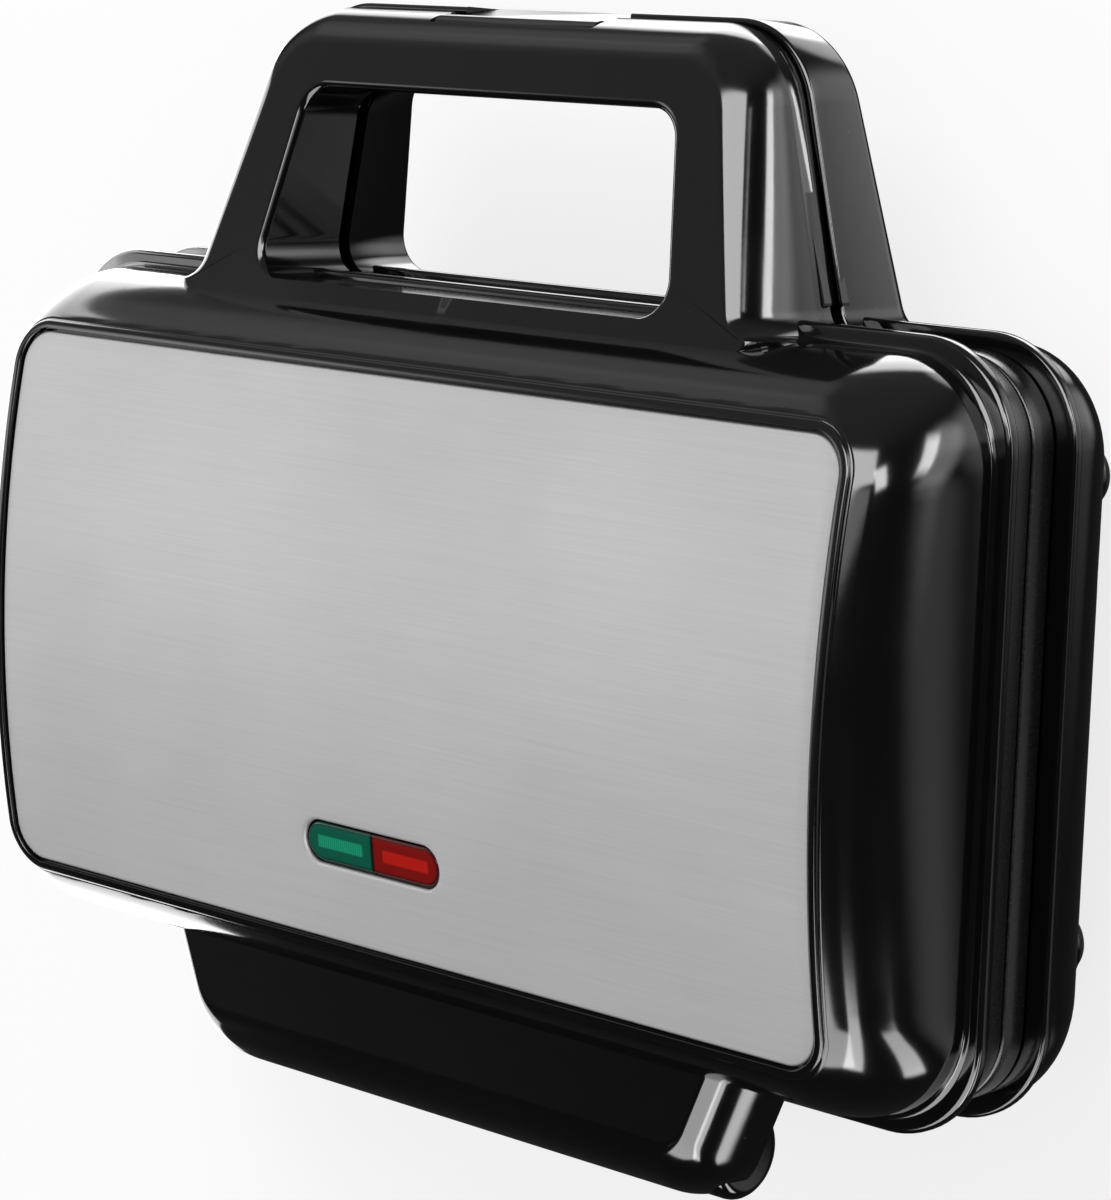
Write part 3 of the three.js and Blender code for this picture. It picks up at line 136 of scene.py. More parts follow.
def makeBrushedSteel():
    # ferritic stainless sheet, brushed along x; real marks are 0.1 mm wide, drawn coarser to show
    strokeLong, strokeWide, cloudPitch, strokeDepth = 40.0, 0.45455, 71.43, 0.0015
    material, tree, shader, inMm = newMaterial(
        "brushedStainless", {"Metallic": 1.0, "Anisotropic": 0.3, "Anisotropic Rotation": 0.25})
    along = addNode(tree, "Mapping", {"Scale": (1 / strokeLong, 1 / strokeWide, 1 / strokeWide)},
                    {"Vector": inMm})
    strokes = addNode(tree, "TexNoise", {"Scale": 1.0, "Detail": 4.0, "Roughness": 0.7}, {"Vector": along})
    clouds = addNode(tree, "TexNoise", {"Scale": 1 / cloudPitch, "Detail": 3.0}, {"Vector": inMm})
    strokeTone = addNode(tree, "ValToRGB", links={0: strokes}, stops=[(0.25, "#bcbcbd"), (0.75, "#c7c7c8")])
    cloudTone = addNode(tree, "ValToRGB", links={0: clouds}, stops=[(0.3, "#ededed"), (0.7, "#ffffff")])
    tone = addNode(tree, "Mix", {"data_type": "RGBA", "blend_type": "MULTIPLY", 0: 0.6},
                   {6: strokeTone, 7: cloudTone})
    linkTo(tree, shader, {
        "Tangent": addNode(tree, "CombineXYZ", {0: 1.0}),
        "Base Color": tone.outputs[2],
        "Roughness": addNode(tree, "ValToRGB", links={0: strokes}, stops=[(0.2, 0.5), (0.8, 0.54)]),
        "Normal": addNode(tree, "Bump", {"Distance": strokeDepth / 1000}, {"Height": strokes})})
    return material


def makeCoating():
    # sprayed fluoropolymer on cast aluminium: charcoal with a fine light fleck
    fleckPitch, skinPitch, skinDepth = 0.7692, 1.1111, 0.05
    material, tree, shader, inMm = newMaterial(
        "nonStickCoating", {"IOR": 1.38, "Coat Weight": 0.25, "Coat Roughness": 0.25})
    fleck = addNode(tree, "TexVoronoi", {"Scale": 1 / fleckPitch}, {"Vector": inMm})
    skin = addNode(tree, "TexNoise", {"Scale": 1 / skinPitch, "Detail": 4.0}, {"Vector": inMm})
    flecks = [(0.0, "#5b5b5c"), (0.14, "#2a2a2b"), (1.0, "#1c1c1d")]
    linkTo(tree, shader, {
        "Base Color": addNode(tree, "ValToRGB", links={0: fleck.outputs["Distance"]}, stops=flecks),
        "Roughness": addNode(tree, "ValToRGB", links={0: skin}, stops=[(0.3, 0.32), (0.7, 0.46)]),
        "Normal": addNode(tree, "Bump", {"Distance": skinDepth / 1000}, {"Height": skin})})
    return material


# both lenses together are a stadium; rimFrom to prismPitch say where their tones change: painted shade at the
# rim and along the split, painted light in the prism bar
lens = dict(y=38.3, halfLength=19.5, radius=4.15, split=0.15, flangeOut=1.3, low=36.3, flangeTop=37.1,
            step=0.01, top=37.95, rimRound=0.5, flatFrom=1.6, flatRise=0.04, sunk=0.5, rimFrom=3.2, rimTo=3.85,
            splitFrom=0.75, splitTo=0.35, barX=6.4, barY=1.15, softX=0.5, softY=0.3, prismPitch=0.6283)


def makeLensPlastic(name, rim, deep, prismLight, barMiddle):
    # clear tinted polycarbonate: painted shade where its edge turns down and along the split between the two
    # halves, painted light in a bar of prisms over the lamp.
    # with signs left out, the distance from the stadium's core line is the length of (x past its
    # round's middle, y), and the bar is where x is near barMiddle and y near nought
    material, tree, shader, inMm = newMaterial(
        name, {"Roughness": 0.08, "IOR": 1.58, "Coat Weight": 0.6, "Coat Roughness": 0.04})
    centred = addNode(tree, "Mapping", {"Location": (0, -(lens["y"] + shiftY), 0)}, {"Vector": inMm})
    folded = addNode(tree, "VectorMath", {"operation": "ABSOLUTE"}, {0: centred})
    parts = addNode(tree, "SeparateXYZ", links={0: folded})
    sideX, sideY = parts.outputs[0], parts.outputs[1]
    roundX = lens["halfLength"] - lens["radius"]
    past = addNode(tree, "Math", {"operation": "SUBTRACT", 1: roundX}, {0: sideX})
    atRound = addNode(tree, "Math", {"operation": "MAXIMUM", 1: 0.0}, {0: past})
    fromCore = addNode(tree, "VectorMath", {"operation": "LENGTH"},
                       {0: addNode(tree, "CombineXYZ", links={0: atRound, 1: sideY})})
    # painted shade: these masks mark where the tint is darkened towards the rim and along the split between
    # the two lenses
    atRim = addNode(tree, "MapRange", {1: lens["rimFrom"], 2: lens["rimTo"]}, {0: fromCore.outputs["Value"]})
    atSplit = addNode(tree, "MapRange", {1: lens["splitFrom"], 2: lens["splitTo"]}, {0: sideX})
    paintedShade = addNode(tree, "Math", {"operation": "MAXIMUM"}, {0: atRim, 1: atSplit})
    offBar = addNode(tree, "Math", {"operation": "SUBTRACT", 1: barMiddle}, {0: sideX})
    fromBar = addNode(tree, "Math", {"operation": "ABSOLUTE"}, {0: offBar})
    inX = addNode(tree, "MapRange", {1: lens["barX"] + lens["softX"], 2: lens["barX"]}, {0: fromBar})
    inY = addNode(tree, "MapRange", {1: lens["barY"] + lens["softY"], 2: lens["barY"]}, {0: sideY})
    inBar = addNode(tree, "Math", {"operation": "MULTIPLY"}, {0: inX, 1: inY})
    # a wave texture's bands are a tenth of pi apart at scale 1
    prisms = addNode(tree, "TexWave", {"Scale": math.pi / 10 / lens["prismPitch"], "bands_direction": "X"},
                     {"Vector": centred})
    # painted light: the prism bar is lighter than the body, its bands painted as glints on the prisms
    prismTone = addNode(tree, "ValToRGB", links={0: prisms}, stops=[(0.2, prismLight[0]), (0.8, prismLight[1])])
    body = addNode(tree, "Mix", {"data_type": "RGBA", 6: hexColour(deep)}, {0: inBar, 7: prismTone})
    # the rim colour is painted shade, laid over the body at the rim and along the split
    tone = addNode(tree, "Mix", {"data_type": "RGBA", 7: hexColour(rim)}, {0: paintedShade, 6: body.outputs[2]})
    linkTo(tree, shader, {"Base Color": tone.outputs[2]})
    return material


def makePlainSteel(name, low, high, roughness):
    # turned or pressed steel with fine marks
    return grainedMaterial(name, {"Metallic": 1.0, "Roughness": roughness}, 0.8333, 4.0,
                           [(0.3, low), (0.7, high)], 0.01)


def makeMoulded(name, low, high, roughness):
    # satin moulded plastic or sleeving of one colour
    return grainedMaterial(name, {"Roughness": roughness, "IOR": 1.5}, 3.3333, 3.0,
                           [(0.3, low), (0.7, high)], 0.02)


glossPlastic = makeGlossPlastic()
brushedSteel = makeBrushedSteel()
coating = makeCoating()
# each lens: a painted shade colour for the rim and split, its body tint, and two painted light colours for the
# prism bar
greenLensPlastic = makeLensPlastic("greenPolycarbonate", "#04382c", "#0c6650", ("#15936d", "#26b287"), 9.6)
redLensPlastic = makeLensPlastic("redPolycarbonate", "#4a0808", "#8f1210", ("#c41a12", "#da2416"), 9.8)
# glass-filled polyester from a plain mould: black, half gloss, with a grain of about 0.5 mm
mattPlastic = grainedMaterial("mouldedBlackPbt", {"IOR": 1.5}, 0.5, 3.0, [(0.3, "#09090a"), (0.7, "#101011")],
                              0.006, [(0.3, 0.2), (0.7, 0.28)])
# moulded nitrile rubber, dull with a dusty bloom
rubber = grainedMaterial("mouldedRubber", {"Roughness": 0.8, "IOR": 1.5}, 2.5, 5.0,
                         [(0.35, "#161616"), (0.7, "#262625")], 0.04)
# thin clear glass of the neon lamps, faintly warm
lampGlass = grainedMaterial("lampGlass", {"Roughness": 0.04, "IOR": 1.5, "Transmission Weight": 0.9},
                            3.3333, 2.0, [(0.3, "#f0d8c8"), (0.7, "#f8e8dc")])
pinSteel = makePlainSteel("turnedSteel", "#a9a9aa", "#bdbdbd", 0.28)
elementSteel = makePlainSteel("heatTintedSteel", "#5d564c", "#857c70", 0.42)
sheetSteel = makePlainSteel("aluminisedSheet", "#a3a6a8", "#b9bbbc", 0.33)
whiteNylon = makeMoulded("whiteNylon", "#cfcabd", "#dfdbd0", 0.45)
redSleeving = makeMoulded("siliconeSleeving", "#9c2a20", "#b23a2c", 0.5)
print("materials made")


# helpers for shapes
onAxis = 0.01                              # radius at which a turned profile is closed by a point
noTriangles = np.zeros((0, 3), int)


def toRow(points):
    # mm from the body's middle and the parting plane to metres in the part's frame
    return (np.asarray(points, float) + (0, shiftY, partingZ)) / 1000


def gridFaces(rows, count, closeRows=False):
    # faces of a grid whose rows are rings; the last row joins the first where the grid closes
    row = np.arange(rows if closeRows else rows - 1)[:, None]
    here = np.arange(count)[None, :]
    beside = (here + 1) % count
    low, high = row * count, (row + 1) % rows * count
    return np.stack([low + here, low + beside, high + beside, high + here], -1).reshape(-1, 4)


def solidVolume(points, faces):
    # sum over the faces of the boxes spanned by their corners, a sixth of it
    total = 0.0
    for corners in ((0, 1, 2), (0, 2, 3)):
        if faces.shape[1] > corners[2]:
            first, second, third = (points[faces[:, corner]] for corner in corners)
            total += np.einsum("ij,ij->", first, np.cross(second, third)) / 6
    return total


def addObject(name, mesh):
    piece = bpy.data.objects.new(name, mesh)
    bpy.context.scene.collection.objects.link(piece)
    return piece


def meshPiece(name, parts, material, sharpDegrees=35):
    # parts are (points, quads, triangles) in mm; each is turned to face out, and all become one object
    verts, faces, offset = [], [], 0
    for points, quads, triangles in parts:
        points = points.reshape(-1, 3)
        centred = points - points.mean(0)
        volume = solidVolume(centred, quads) + solidVolume(centred, triangles)
        if volume < 0:
            quads, triangles = quads[:, ::-1], triangles[:, ::-1]
        verts.append(points)
        faces += (quads + offset).tolist() + (triangles + offset).tolist()
        offset += len(points)
    mesh = bpy.data.meshes.new(name)
    mesh.from_pydata(toRow(np.concatenate(verts)), [], faces)
    mesh.materials.append(material)
    mesh.shade_smooth()
    mesh.set_sharp_from_angle(angle=math.radians(sharpDegrees))
    return addObject(name, mesh)


def closedLoft(rings):
    # rings (rows, count, 3) joined row to row, with a middle point over the first and the last ring
    rows, count, _ = rings.shape
    points = np.concatenate([rings.reshape(-1, 3), rings[[0, -1]].mean(1)])
    here = np.arange(count)
    beside = (here + 1) % count
    last = (rows - 1) * count
    first = np.stack([here * 0 + rows * count, beside, here], -1)
    final = np.stack([here * 0 + rows * count + 1, last + here, last + beside], -1)
    return points, gridFaces(rows, count), np.concatenate([first, final])


def closedTorus(rings):
    # rings (rows, count, 3) joined row to row, the last to the first
    rows, count, _ = rings.shape
    return rings.reshape(-1, 3), gridFaces(rows, count, True), noTriangles


def revolve(profile, centre, axis="z", count=48, hollow=False):
    # profile of (radius, height) turned about an axis through centre; a hollow one is a closed
    # section away from the axis, any other ends on the axis
    radius, height = (column[:, None] for column in np.asarray(profile, float).T)
    turn = np.linspace(0, 2 * math.pi, count, endpoint=False)
    upright = np.stack([radius * np.cos(turn), radius * np.sin(turn), height + 0 * turn], -1)
    order = {"z": [0, 1, 2], "y": [0, 2, 1], "x": [2, 0, 1]}[axis]
    rings = upright[..., order] + np.asarray(centre, float)
    return closedTorus(rings) if hollow else closedLoft(rings)


def arc(centre, radius, start, end, steps):
    # points on a circle from one angle to another, in degrees; radius may be a pair for an ellipse
    turn = np.radians(np.linspace(start, end, steps))
    radiusX, radiusY = radius if isinstance(radius, tuple) else (radius, radius)
    return np.stack([centre[0] + radiusX * np.cos(turn), centre[1] + radiusY * np.sin(turn)], -1)


def taperedRing(frontY, rearY, frontHalf, rearHalf, frontRadius, rearRadius, flat=14, bend=18, side=30):
    # outline with round corners that narrows to the front; each value may be a column, one per ring.
    # the corners' arcs turn as far as the leaning side asks, which is straight between them
    columns = np.broadcast_arrays(frontY, rearY, frontHalf, rearHalf, frontRadius, rearRadius)
    frontY, rearY, frontHalf, rearHalf, frontRadius, rearRadius = [
        np.asarray(column, float).reshape(-1, 1) for column in columns]
    slope = (rearHalf - frontHalf) / (rearY - frontY)
    stretch = np.hypot(1, slope)
    sideTurn = np.arctan2(-slope, 1)
    frontX = frontHalf + slope * frontRadius - stretch * frontRadius
    rearX = rearHalf - slope * rearRadius - stretch * rearRadius
    share = np.linspace(0, 1, bend)[None, :]
    frontTurn = -math.pi / 2 + (sideTurn + math.pi / 2) * share
    rearTurn = sideTurn + (math.pi / 2 - sideTurn) * share
    frontArcX = frontX + frontRadius * np.cos(frontTurn)
    frontArcY = frontY + frontRadius * (1 + np.sin(frontTurn))
    rearArcX = rearX + rearRadius * np.cos(rearTurn)
    rearArcY = rearY - rearRadius * (1 - np.sin(rearTurn))
    toCorner = np.linspace(0, 1, flat, endpoint=False)[None, :]
    along = np.linspace(0, 1, side + 1)[None, 1:-1]
    sideX = frontArcX[:, -1:] + (rearArcX[:, :1] - frontArcX[:, -1:]) * along
    sideY = frontArcY[:, -1:] + (rearArcY[:, :1] - frontArcY[:, -1:]) * along
    fromCorner = 1 - toCorner[:, 1:]
    x = np.concatenate([frontX * toCorner, frontArcX, sideX, rearArcX, rearX * fromCorner, 0 * rearX], 1)
    y = np.concatenate([frontY + 0 * toCorner, frontArcY, sideY, rearArcY, rearY + 0 * fromCorner, rearY], 1)
    return (np.concatenate([x, -x[:, -2:0:-1]], 1), np.concatenate([y, y[:, -2:0:-1]], 1))


def rectangleRings(levels, crown=None, **counts):
    # levels (half width, half length, corner radius, height, crown share) as rings of a rounded rectangle
    halfX, halfY, corner, height, crownShare = np.asarray(levels, float).T[:, :, None]
    x, y = taperedRing(-halfY, halfY, halfX, halfX, corner, corner, **counts)
    lift = crownShare * crown(y) if crown else 0 * x
    return np.stack([x, y, height + lift], -1)


def rimLevels(size, curve, crownShare=0, cornerShare=1):
    # levels for a curve of (out, height) points carried round a rectangle, whose size is its half
    # width, half length and corner radius
    halfX, halfY, corner = size
    return [(halfX + out, halfY + out, corner + cornerShare * out, height, crownShare)
            for out, height in curve]


def prism(profile, lowX, highX, edge=0.5):
    # closed profile of (y, h) points carried along x, its ends drawn in by a small round
    profile = np.asarray(profile, float)
    middle = profile.mean(0)
    size = np.abs(profile - middle).max(0)
    turn = np.radians(np.linspace(0, 90, 4))
    inset = np.concatenate([edge * (1 - np.sin(turn)), edge * (1 - np.cos(turn))])
    x = np.concatenate([lowX + edge * (1 - np.cos(turn)), highX - edge * (1 - np.sin(turn))])
    scale = 1 - inset[:, None] / size[None, :]
    flat = middle + (profile - middle)[None] * scale[:, None, :]
    return closedLoft(np.concatenate([np.broadcast_to(x[:, None, None], flat.shape[:2] + (1,)), flat], -1))


def roundPolygon(points, radii, steps=5):
    # polygon with each corner replaced by an arc that touches both its sides
    points = np.asarray(points, float)
    outline = []
    for number, radius in enumerate(radii):
        here = points[number]
        if radius == 0:
            outline.append(here[None])
            continue
        toLast, toNext = points[number - 1] - here, points[(number + 1) % len(points)] - here
        toLast, toNext = toLast / np.linalg.norm(toLast), toNext / np.linalg.norm(toNext)
        half = math.acos(np.clip(toLast @ toNext, -1, 1)) / 2
        centre = here + (toLast + toNext) / np.linalg.norm(toLast + toNext) * radius / math.sin(half)
        start, end = (math.atan2(*(here + side * radius / math.tan(half) - centre)[::-1])
                      for side in (toLast, toNext))
        end += 2 * math.pi * round((start - end) / (2 * math.pi))
        outline.append(arc(centre, radius, math.degrees(start), math.degrees(end), steps))
    return np.concatenate(outline)


def cutWith(piece, cutters):
    # the cutters are taken out of the piece
    for cutter in cutters:
        modifier = piece.modifiers.new("cut", "BOOLEAN")
        modifier.operation = "DIFFERENCE"
        modifier.solver = "EXACT"
        modifier.object = cutter
        bpy.context.view_layer.objects.active = piece
        with bpy.context.temp_override(object=piece, active_object=piece, selected_objects=[piece]):
            bpy.ops.object.modifier_apply(modifier=modifier.name)
        bpy.data.objects.remove(cutter)
    piece.data.set_sharp_from_angle(angle=math.radians(35))
    return piece


def joinPieces(target, others):
    # all become one object, each corner keeping its shading
    every = [target, *others]
    with bpy.context.temp_override(active_object=target, object=target, selected_objects=every,
                                   selected_editable_objects=every):
        bpy.ops.object.join()
    return target


def blockCutter(low, high, edge=0.6):
    # block with rounded rims and, a little rounder, its upright edges
    (lowX, lowY, bottom), (highX, highY, top) = low, high
    size = ((highX - lowX) / 2, (highY - lowY) / 2, edge + 0.1)
    curve = arc((-edge, edge), edge, 270, 360, 3)
    levels = rimLevels(size, curve + (0, bottom), cornerShare=0)
    levels += rimLevels(size, curve[::-1] * (1, -1) + (0, top), cornerShare=0)
    rings = rectangleRings(levels, flat=3, bend=5, side=3) + ((lowX + highX) / 2, (lowY + highY) / 2, 0)
    return meshPiece("blockCutter", [closedLoft(rings)], glossPlastic)


def finishPiece(piece, body, slot, *nodes):
    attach(piece, body)
    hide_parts(*nodes)


# the lid's shell
lid = dict(flangeX=135.0, flangeY=76.75, flangeCorner=21.5, flangeLow=8.5, flangeHigh=11.6,
           underRound=0.7, rimRound=1.1, footFillet=1.2, filletCornerShare=0.6,
           wallX=131.5, wallY=73.25, wallCorner=21.0, wall=2.5,
           shoulderFrom=13.2, shoulderTurn=78.0, shoulderGap=0.9, shoulderBelow=0.5,
           cornerLoss=8.5, cornerPower=1.8,
           innerFrom=14.0, innerRise=20.0, innerTurn=70.0, innerReachX=10.625, innerReachY=11.25,
           innerCorner=18.0, innerCornerLoss=6.25, innerFootCorner=18.5,
           ceilingInset=20.0, ceilingCorner=8.0, ceilingEdge=3.0, ceilingEdgeCorner=12.0,
           panelX=118.1, panelY=59.55, panelCorner=7.7, panelTop=38.6, crown=6.2,
           ridgeOut=2.3, ridgeHigh=0.6, ridgeFillet=0.25, ridgeRound=0.45, ridgeInnerRound=0.3,
           recess=0.6, floor=37.5, floorInset=12.0, floorCorner=6.0)


def lidCrown(y):
    # a parabola over y, highest in the middle and nought at the panel's ends
    return lid["crown"] * (1 - (y / lid["panelY"]) ** 2)


def makeLidShell():
    # one section from the ceiling inside down to the flange, up over the shoulder and down to the
    # panel's seat. the shoulder is a quarter ellipse, its top carried up with the crown
    ridgeX, ridgeY = lid["panelX"] + lid["ridgeOut"], lid["panelY"] + lid["ridgeOut"]
    innerX, innerY = lid["wallX"] - lid["wall"], lid["wallY"] - lid["wall"]
    ceiling = lid["floor"] - lid["wall"]
    levels = [(ridgeX - inset, ridgeY - inset, corner, ceiling, 1) for inset, corner in
              ((lid["ceilingInset"], lid["ceilingCorner"]), (lid["ceilingEdge"], lid["ceilingEdgeCorner"]))]
    for turn in np.radians(np.linspace(lid["innerTurn"], 0, 8)):
        across, up = 1 - math.cos(turn), math.sin(turn)
        levels.append((innerX - lid["innerReachX"] * across, innerY - lid["innerReachY"] * across,
                       lid["innerCorner"] - lid["innerCornerLoss"] * across ** 2,
                       lid["innerFrom"] + lid["innerRise"] * up, up))
    levels.append((innerX, innerY, lid["innerFootCorner"], lid["flangeLow"], 0))
    # flange with rounded rims, and a hollow fillet at the wall's foot
    flange = (lid["flangeX"], lid["flangeY"], lid["flangeCorner"])
    under, rim, fillet = lid["underRound"], lid["rimRound"], lid["footFillet"]
    levels += rimLevels(flange, arc((-under, lid["flangeLow"] + under), under, -90, 0, 5))
    levels += rimLevels(flange, arc((-rim, lid["flangeHigh"] - rim), rim, 0, 90, 6))
    levels += rimLevels((lid["wallX"], lid["wallY"], lid["wallCorner"]),
                        arc((fillet, lid["flangeHigh"] + fillet), fillet, 270, 180, 6),
                        cornerShare=lid["filletCornerShare"])
    # shoulder
    gap, top = lid["shoulderGap"], lid["panelTop"] - lid["shoulderBelow"]
    end = math.radians(lid["shoulderTurn"])
    for turn in np.linspace(0, end, 30):
        across, up = (1 - math.cos(turn)) / (1 - math.cos(end)), math.sin(turn) / math.sin(end)
        levels.append((lid["wallX"] + (ridgeX + gap - lid["wallX"]) * across,
                       lid["wallY"] + (ridgeY + gap - lid["wallY"]) * across,
                       lid["wallCorner"] - lid["cornerLoss"] * across ** lid["cornerPower"],
                       lid["shoulderFrom"] + (top - lid["shoulderFrom"]) * up, up))
    # step up to the narrow ridge, and down into the recess for the panel
    step, outerRound, innerRound = lid["ridgeFillet"], lid["ridgeRound"], lid["ridgeInnerRound"]
    ridgeTop = lid["panelTop"] + lid["ridgeHigh"]
    ridge = (ridgeX, ridgeY, lid["panelCorner"] + lid["ridgeOut"])
    seat = (lid["panelX"] + lid["recess"], lid["panelY"] + lid["recess"], lid["panelCorner"] + lid["recess"])
    levels += rimLevels(ridge, arc((gap, top + step), (gap - step, step), 270, 180, 4), 1)
    levels += rimLevels(ridge, arc((step - outerRound, ridgeTop - outerRound), outerRound, 0, 90, 5), 1)
    levels += rimLevels(seat, arc((innerRound, ridgeTop - innerRound), innerRound, 90, 180, 4), 1)
    levels += rimLevels(seat, [(0, lid["floor"])], 1)
    inset = lid["floorInset"]
    levels.append((ridgeX - inset, ridgeY - inset, lid["floorCorner"], lid["floor"], 1))
    return closedLoft(rectangleRings(levels, lidCrown, side=46))


# handle halves; footY is where they leave the body's wall, rearY lies inside the wall
handle = dict(tipY=-133.6, footY=-73.25, rearY=-70.65, rearCorner=2.4, footHalf=84.5, tipHalf=69.0,
              corner=20.0, gap=1.6, gapRound=0.6, gapFace=0.9, flare=5.0, legFrom=60.0, seam=0.2,
              roundShare=0.9,
              openTipY=-115.0, openFootY=-75.2, openTipHalf=51.9, openFootHalf=59.3, openCorner=7.0,
              openLip=0.3, lipDraftShare=0.05,
              coverRim=1.4, coverDeep=2.4, coverPast=0.5, coverEndY=-78.45, coverCorner=1.0,
              innerRearY=-60.0, innerRearMore=3.0, recessHalf=23.6, recessY=-126.6, recessPast=4.0)
lidHandle = dict(side=1, foot=25.2, tip=12.7, setback=1.0, draft=0.6, round=7.4, deepShare=0.86,
                 openDraft=0.6, openRound=1.6, recessLow=-1.0, recessHigh=9.6)
baseHandle = dict(side=-1, foot=23.4, tip=16.8, setback=0.0, draft=0.5, round=3.0, deepShare=0.2,
                  openDraft=3.5, openRound=1.6, recessLow=-13.4, recessHigh=1.0)


def makeHandleHalf(half):
    # section walked once round: gap face, outer wall, round edge, face, opening's edge and wall.
    # the face slopes evenly from foot to tip, and the round takes a share of the half's depth
    counts = dict(flat=24, bend=18, side=90)
    slope = (half["tip"] - half["foot"]) / (handle["tipY"] - handle["footY"])

    def outer(inset):
        x, y = taperedRing(handle["tipY"] + half["setback"] + inset, handle["rearY"],
                           handle["tipHalf"] - inset, handle["footHalf"] - inset,
                           handle["corner"] - inset, handle["rearCorner"], **counts)
        # the legs flare into the body by a quarter circle, left just before it is upright
        near = np.clip((y - handle["footY"] + handle["flare"]) / handle["flare"], 0, 0.999)
        isLeg = np.abs(x) > handle["legFrom"]
        return x + np.sign(x) * isLeg * handle["flare"] * (1 - np.sqrt(1 - near ** 2)), y

    def opening(grow):
        return taperedRing(handle["openTipY"] - grow, handle["openFootY"],
                           handle["openTipHalf"] + grow, handle["openFootHalf"] + grow,
                           handle["openCorner"] + grow / 2, handle["openCorner"], **counts)

    def atGap(outline, above=0.0):
        x, y = outline
        return x, y, handle["gap"] + above + 0 * x

    def atFace(outline, below=0.0, deepBelow=0.0):
        # below is in mm, deepBelow a share of the round's depth there
        x, y = outline
        face = half["foot"] + slope * (y - handle["footY"])
        deep = np.maximum(half["round"] * handle["roundShare"], half["deepShare"] * (face - handle["gap"]))
        return x, y, face - below - deepBelow * deep

    edge, outside, inside = handle["gapRound"], half["draft"], half["openDraft"]
    seam, lip = handle["seam"], half["openRound"]
    rows = [atGap(outer(inset), above) for inset, above in arc((edge, edge), edge, 270, 180, 4)]
    rows += [atFace(outer(outside + half["round"] * (1 - math.cos(turn))), deepBelow=1 - math.sin(turn))
             for turn in np.radians(np.linspace(0, 90, 26))]
    rows.append(atFace(outer(outside + half["round"] + seam)))
    rows.append(atFace(opening(inside + lip + seam)))
    rows += [atFace(opening(inside + grow), below) for grow, below in arc((lip, lip), lip, 270, 180, 7)]
    rows.append(atGap(opening(inside * handle["lipDraftShare"]), handle["openLip"]))
    rows.append(atGap(opening(0)))
    rows.append(atGap(opening(handle["openLip"])))
    rows.append(atGap(outer(handle["gapFace"])))
    rings = [np.stack([x[0], y[0], half["side"] * height[0]], -1) for x, y, height in rows]
    return closedTorus(np.stack(rings))


def coverPocket(half):
    # U-shaped block that leaves the pocket for the handle's cover plate
    counts = dict(flat=4, bend=8, side=4)
    rim, endY, corner = handle["coverRim"], handle["coverEndY"], handle["coverCorner"]
    frontY = handle["tipY"] + half["setback"]
    legShare = (endY - frontY) / (handle["rearY"] - frontY)
    legHalf = handle["tipHalf"] + (handle["footHalf"] - handle["tipHalf"]) * legShare
    outerX, outerY = (column[0] for column in taperedRing(
        frontY + rim, endY, handle["tipHalf"] - rim, legHalf - rim, handle["corner"] - rim, corner, **counts))
    rim += half["openDraft"]
    innerX, innerY = (column[0] for column in taperedRing(
        handle["openTipY"] - rim, handle["innerRearY"], handle["openTipHalf"] + rim,
        handle["openFootHalf"] + rim + handle["innerRearMore"], handle["openCorner"] + rim, corner, **counts))
    # walk the outside from rear right over the front to rear left, then back along the inside
    middle, skip = len(outerX) // 2, counts["flat"]
    walk = np.concatenate([np.arange(middle - skip, -1, -1), np.arange(len(outerX) - 1, middle + skip, -1)])
    right = np.where((innerY < endY) & (innerX >= 0))[0]
    left = np.where((innerY < endY) & (innerX < 0))[0]
    inside = np.concatenate([left, right])
    flatX = np.concatenate([outerX[walk], innerX[left[:1]], innerX[inside], innerX[right[-1:]]])
    flatY = np.concatenate([outerY[walk], [endY], innerY[inside], [endY]])
    count = len(flatX)
    verts = [np.stack([flatX, flatY, np.full(count, half["side"] * height)], -1)
             for height in (-handle["coverPast"], handle["gap"] + handle["coverDeep"])]
    here = np.arange(count)
    quads = np.stack([here, (here + 1) % count, (here + 1) % count + count, here + count], -1)
    mesh = bpy.data.meshes.new("pocketCutter")
    mesh.from_pydata(toRow(np.concatenate(verts)), [],
                     quads.tolist() + [here[::-1].tolist(), (here + count).tolist()])
    mesh.update()
    return addObject("pocketCutter", mesh)


def makeHandle(name, half):
    piece = meshPiece(name, [makeHandleHalf(half)], glossPlastic)
    recess = blockCutter((-handle["recessHalf"], handle["tipY"] - handle["recessPast"], half["recessLow"]),
                         (handle["recessHalf"], handle["recessY"], half["recessHigh"]))
    return cutWith(piece, [coverPocket(half), recess])


# hinge cover on the lid, and the base's arm between its barrels
hinge = dict(pinY=92.0, pinH=4.5, barrel=10.0, barrelHalf=73.0, barrelRound=3.0, barrelEdge=0.3,
             frontY=70.0, frontHalf=85.6, rearHalf=72.0, frontCorner=1.0, corner=15.0, rearRound=15.0,
             top=24.5, round=7.5, roundDeep=16.0, flatEdge=0.3, flatIn=4.0, roomRadius=9.6, roomHalf=58.1,
             knuckle=8.8, knuckleHalf=57.5, knuckleEdge=0.5,
             armFront=73.7, armNeck=78.7, armRear=89.5, armTop=-1.2, armDeep=20.0, armRound=1.5, armEdge=0.3,
             standFront=62.0, standFrontCorner=1.0, standHalf=42.0, standTop=19.0, standCorner=8.0,
             standRound=1.2)


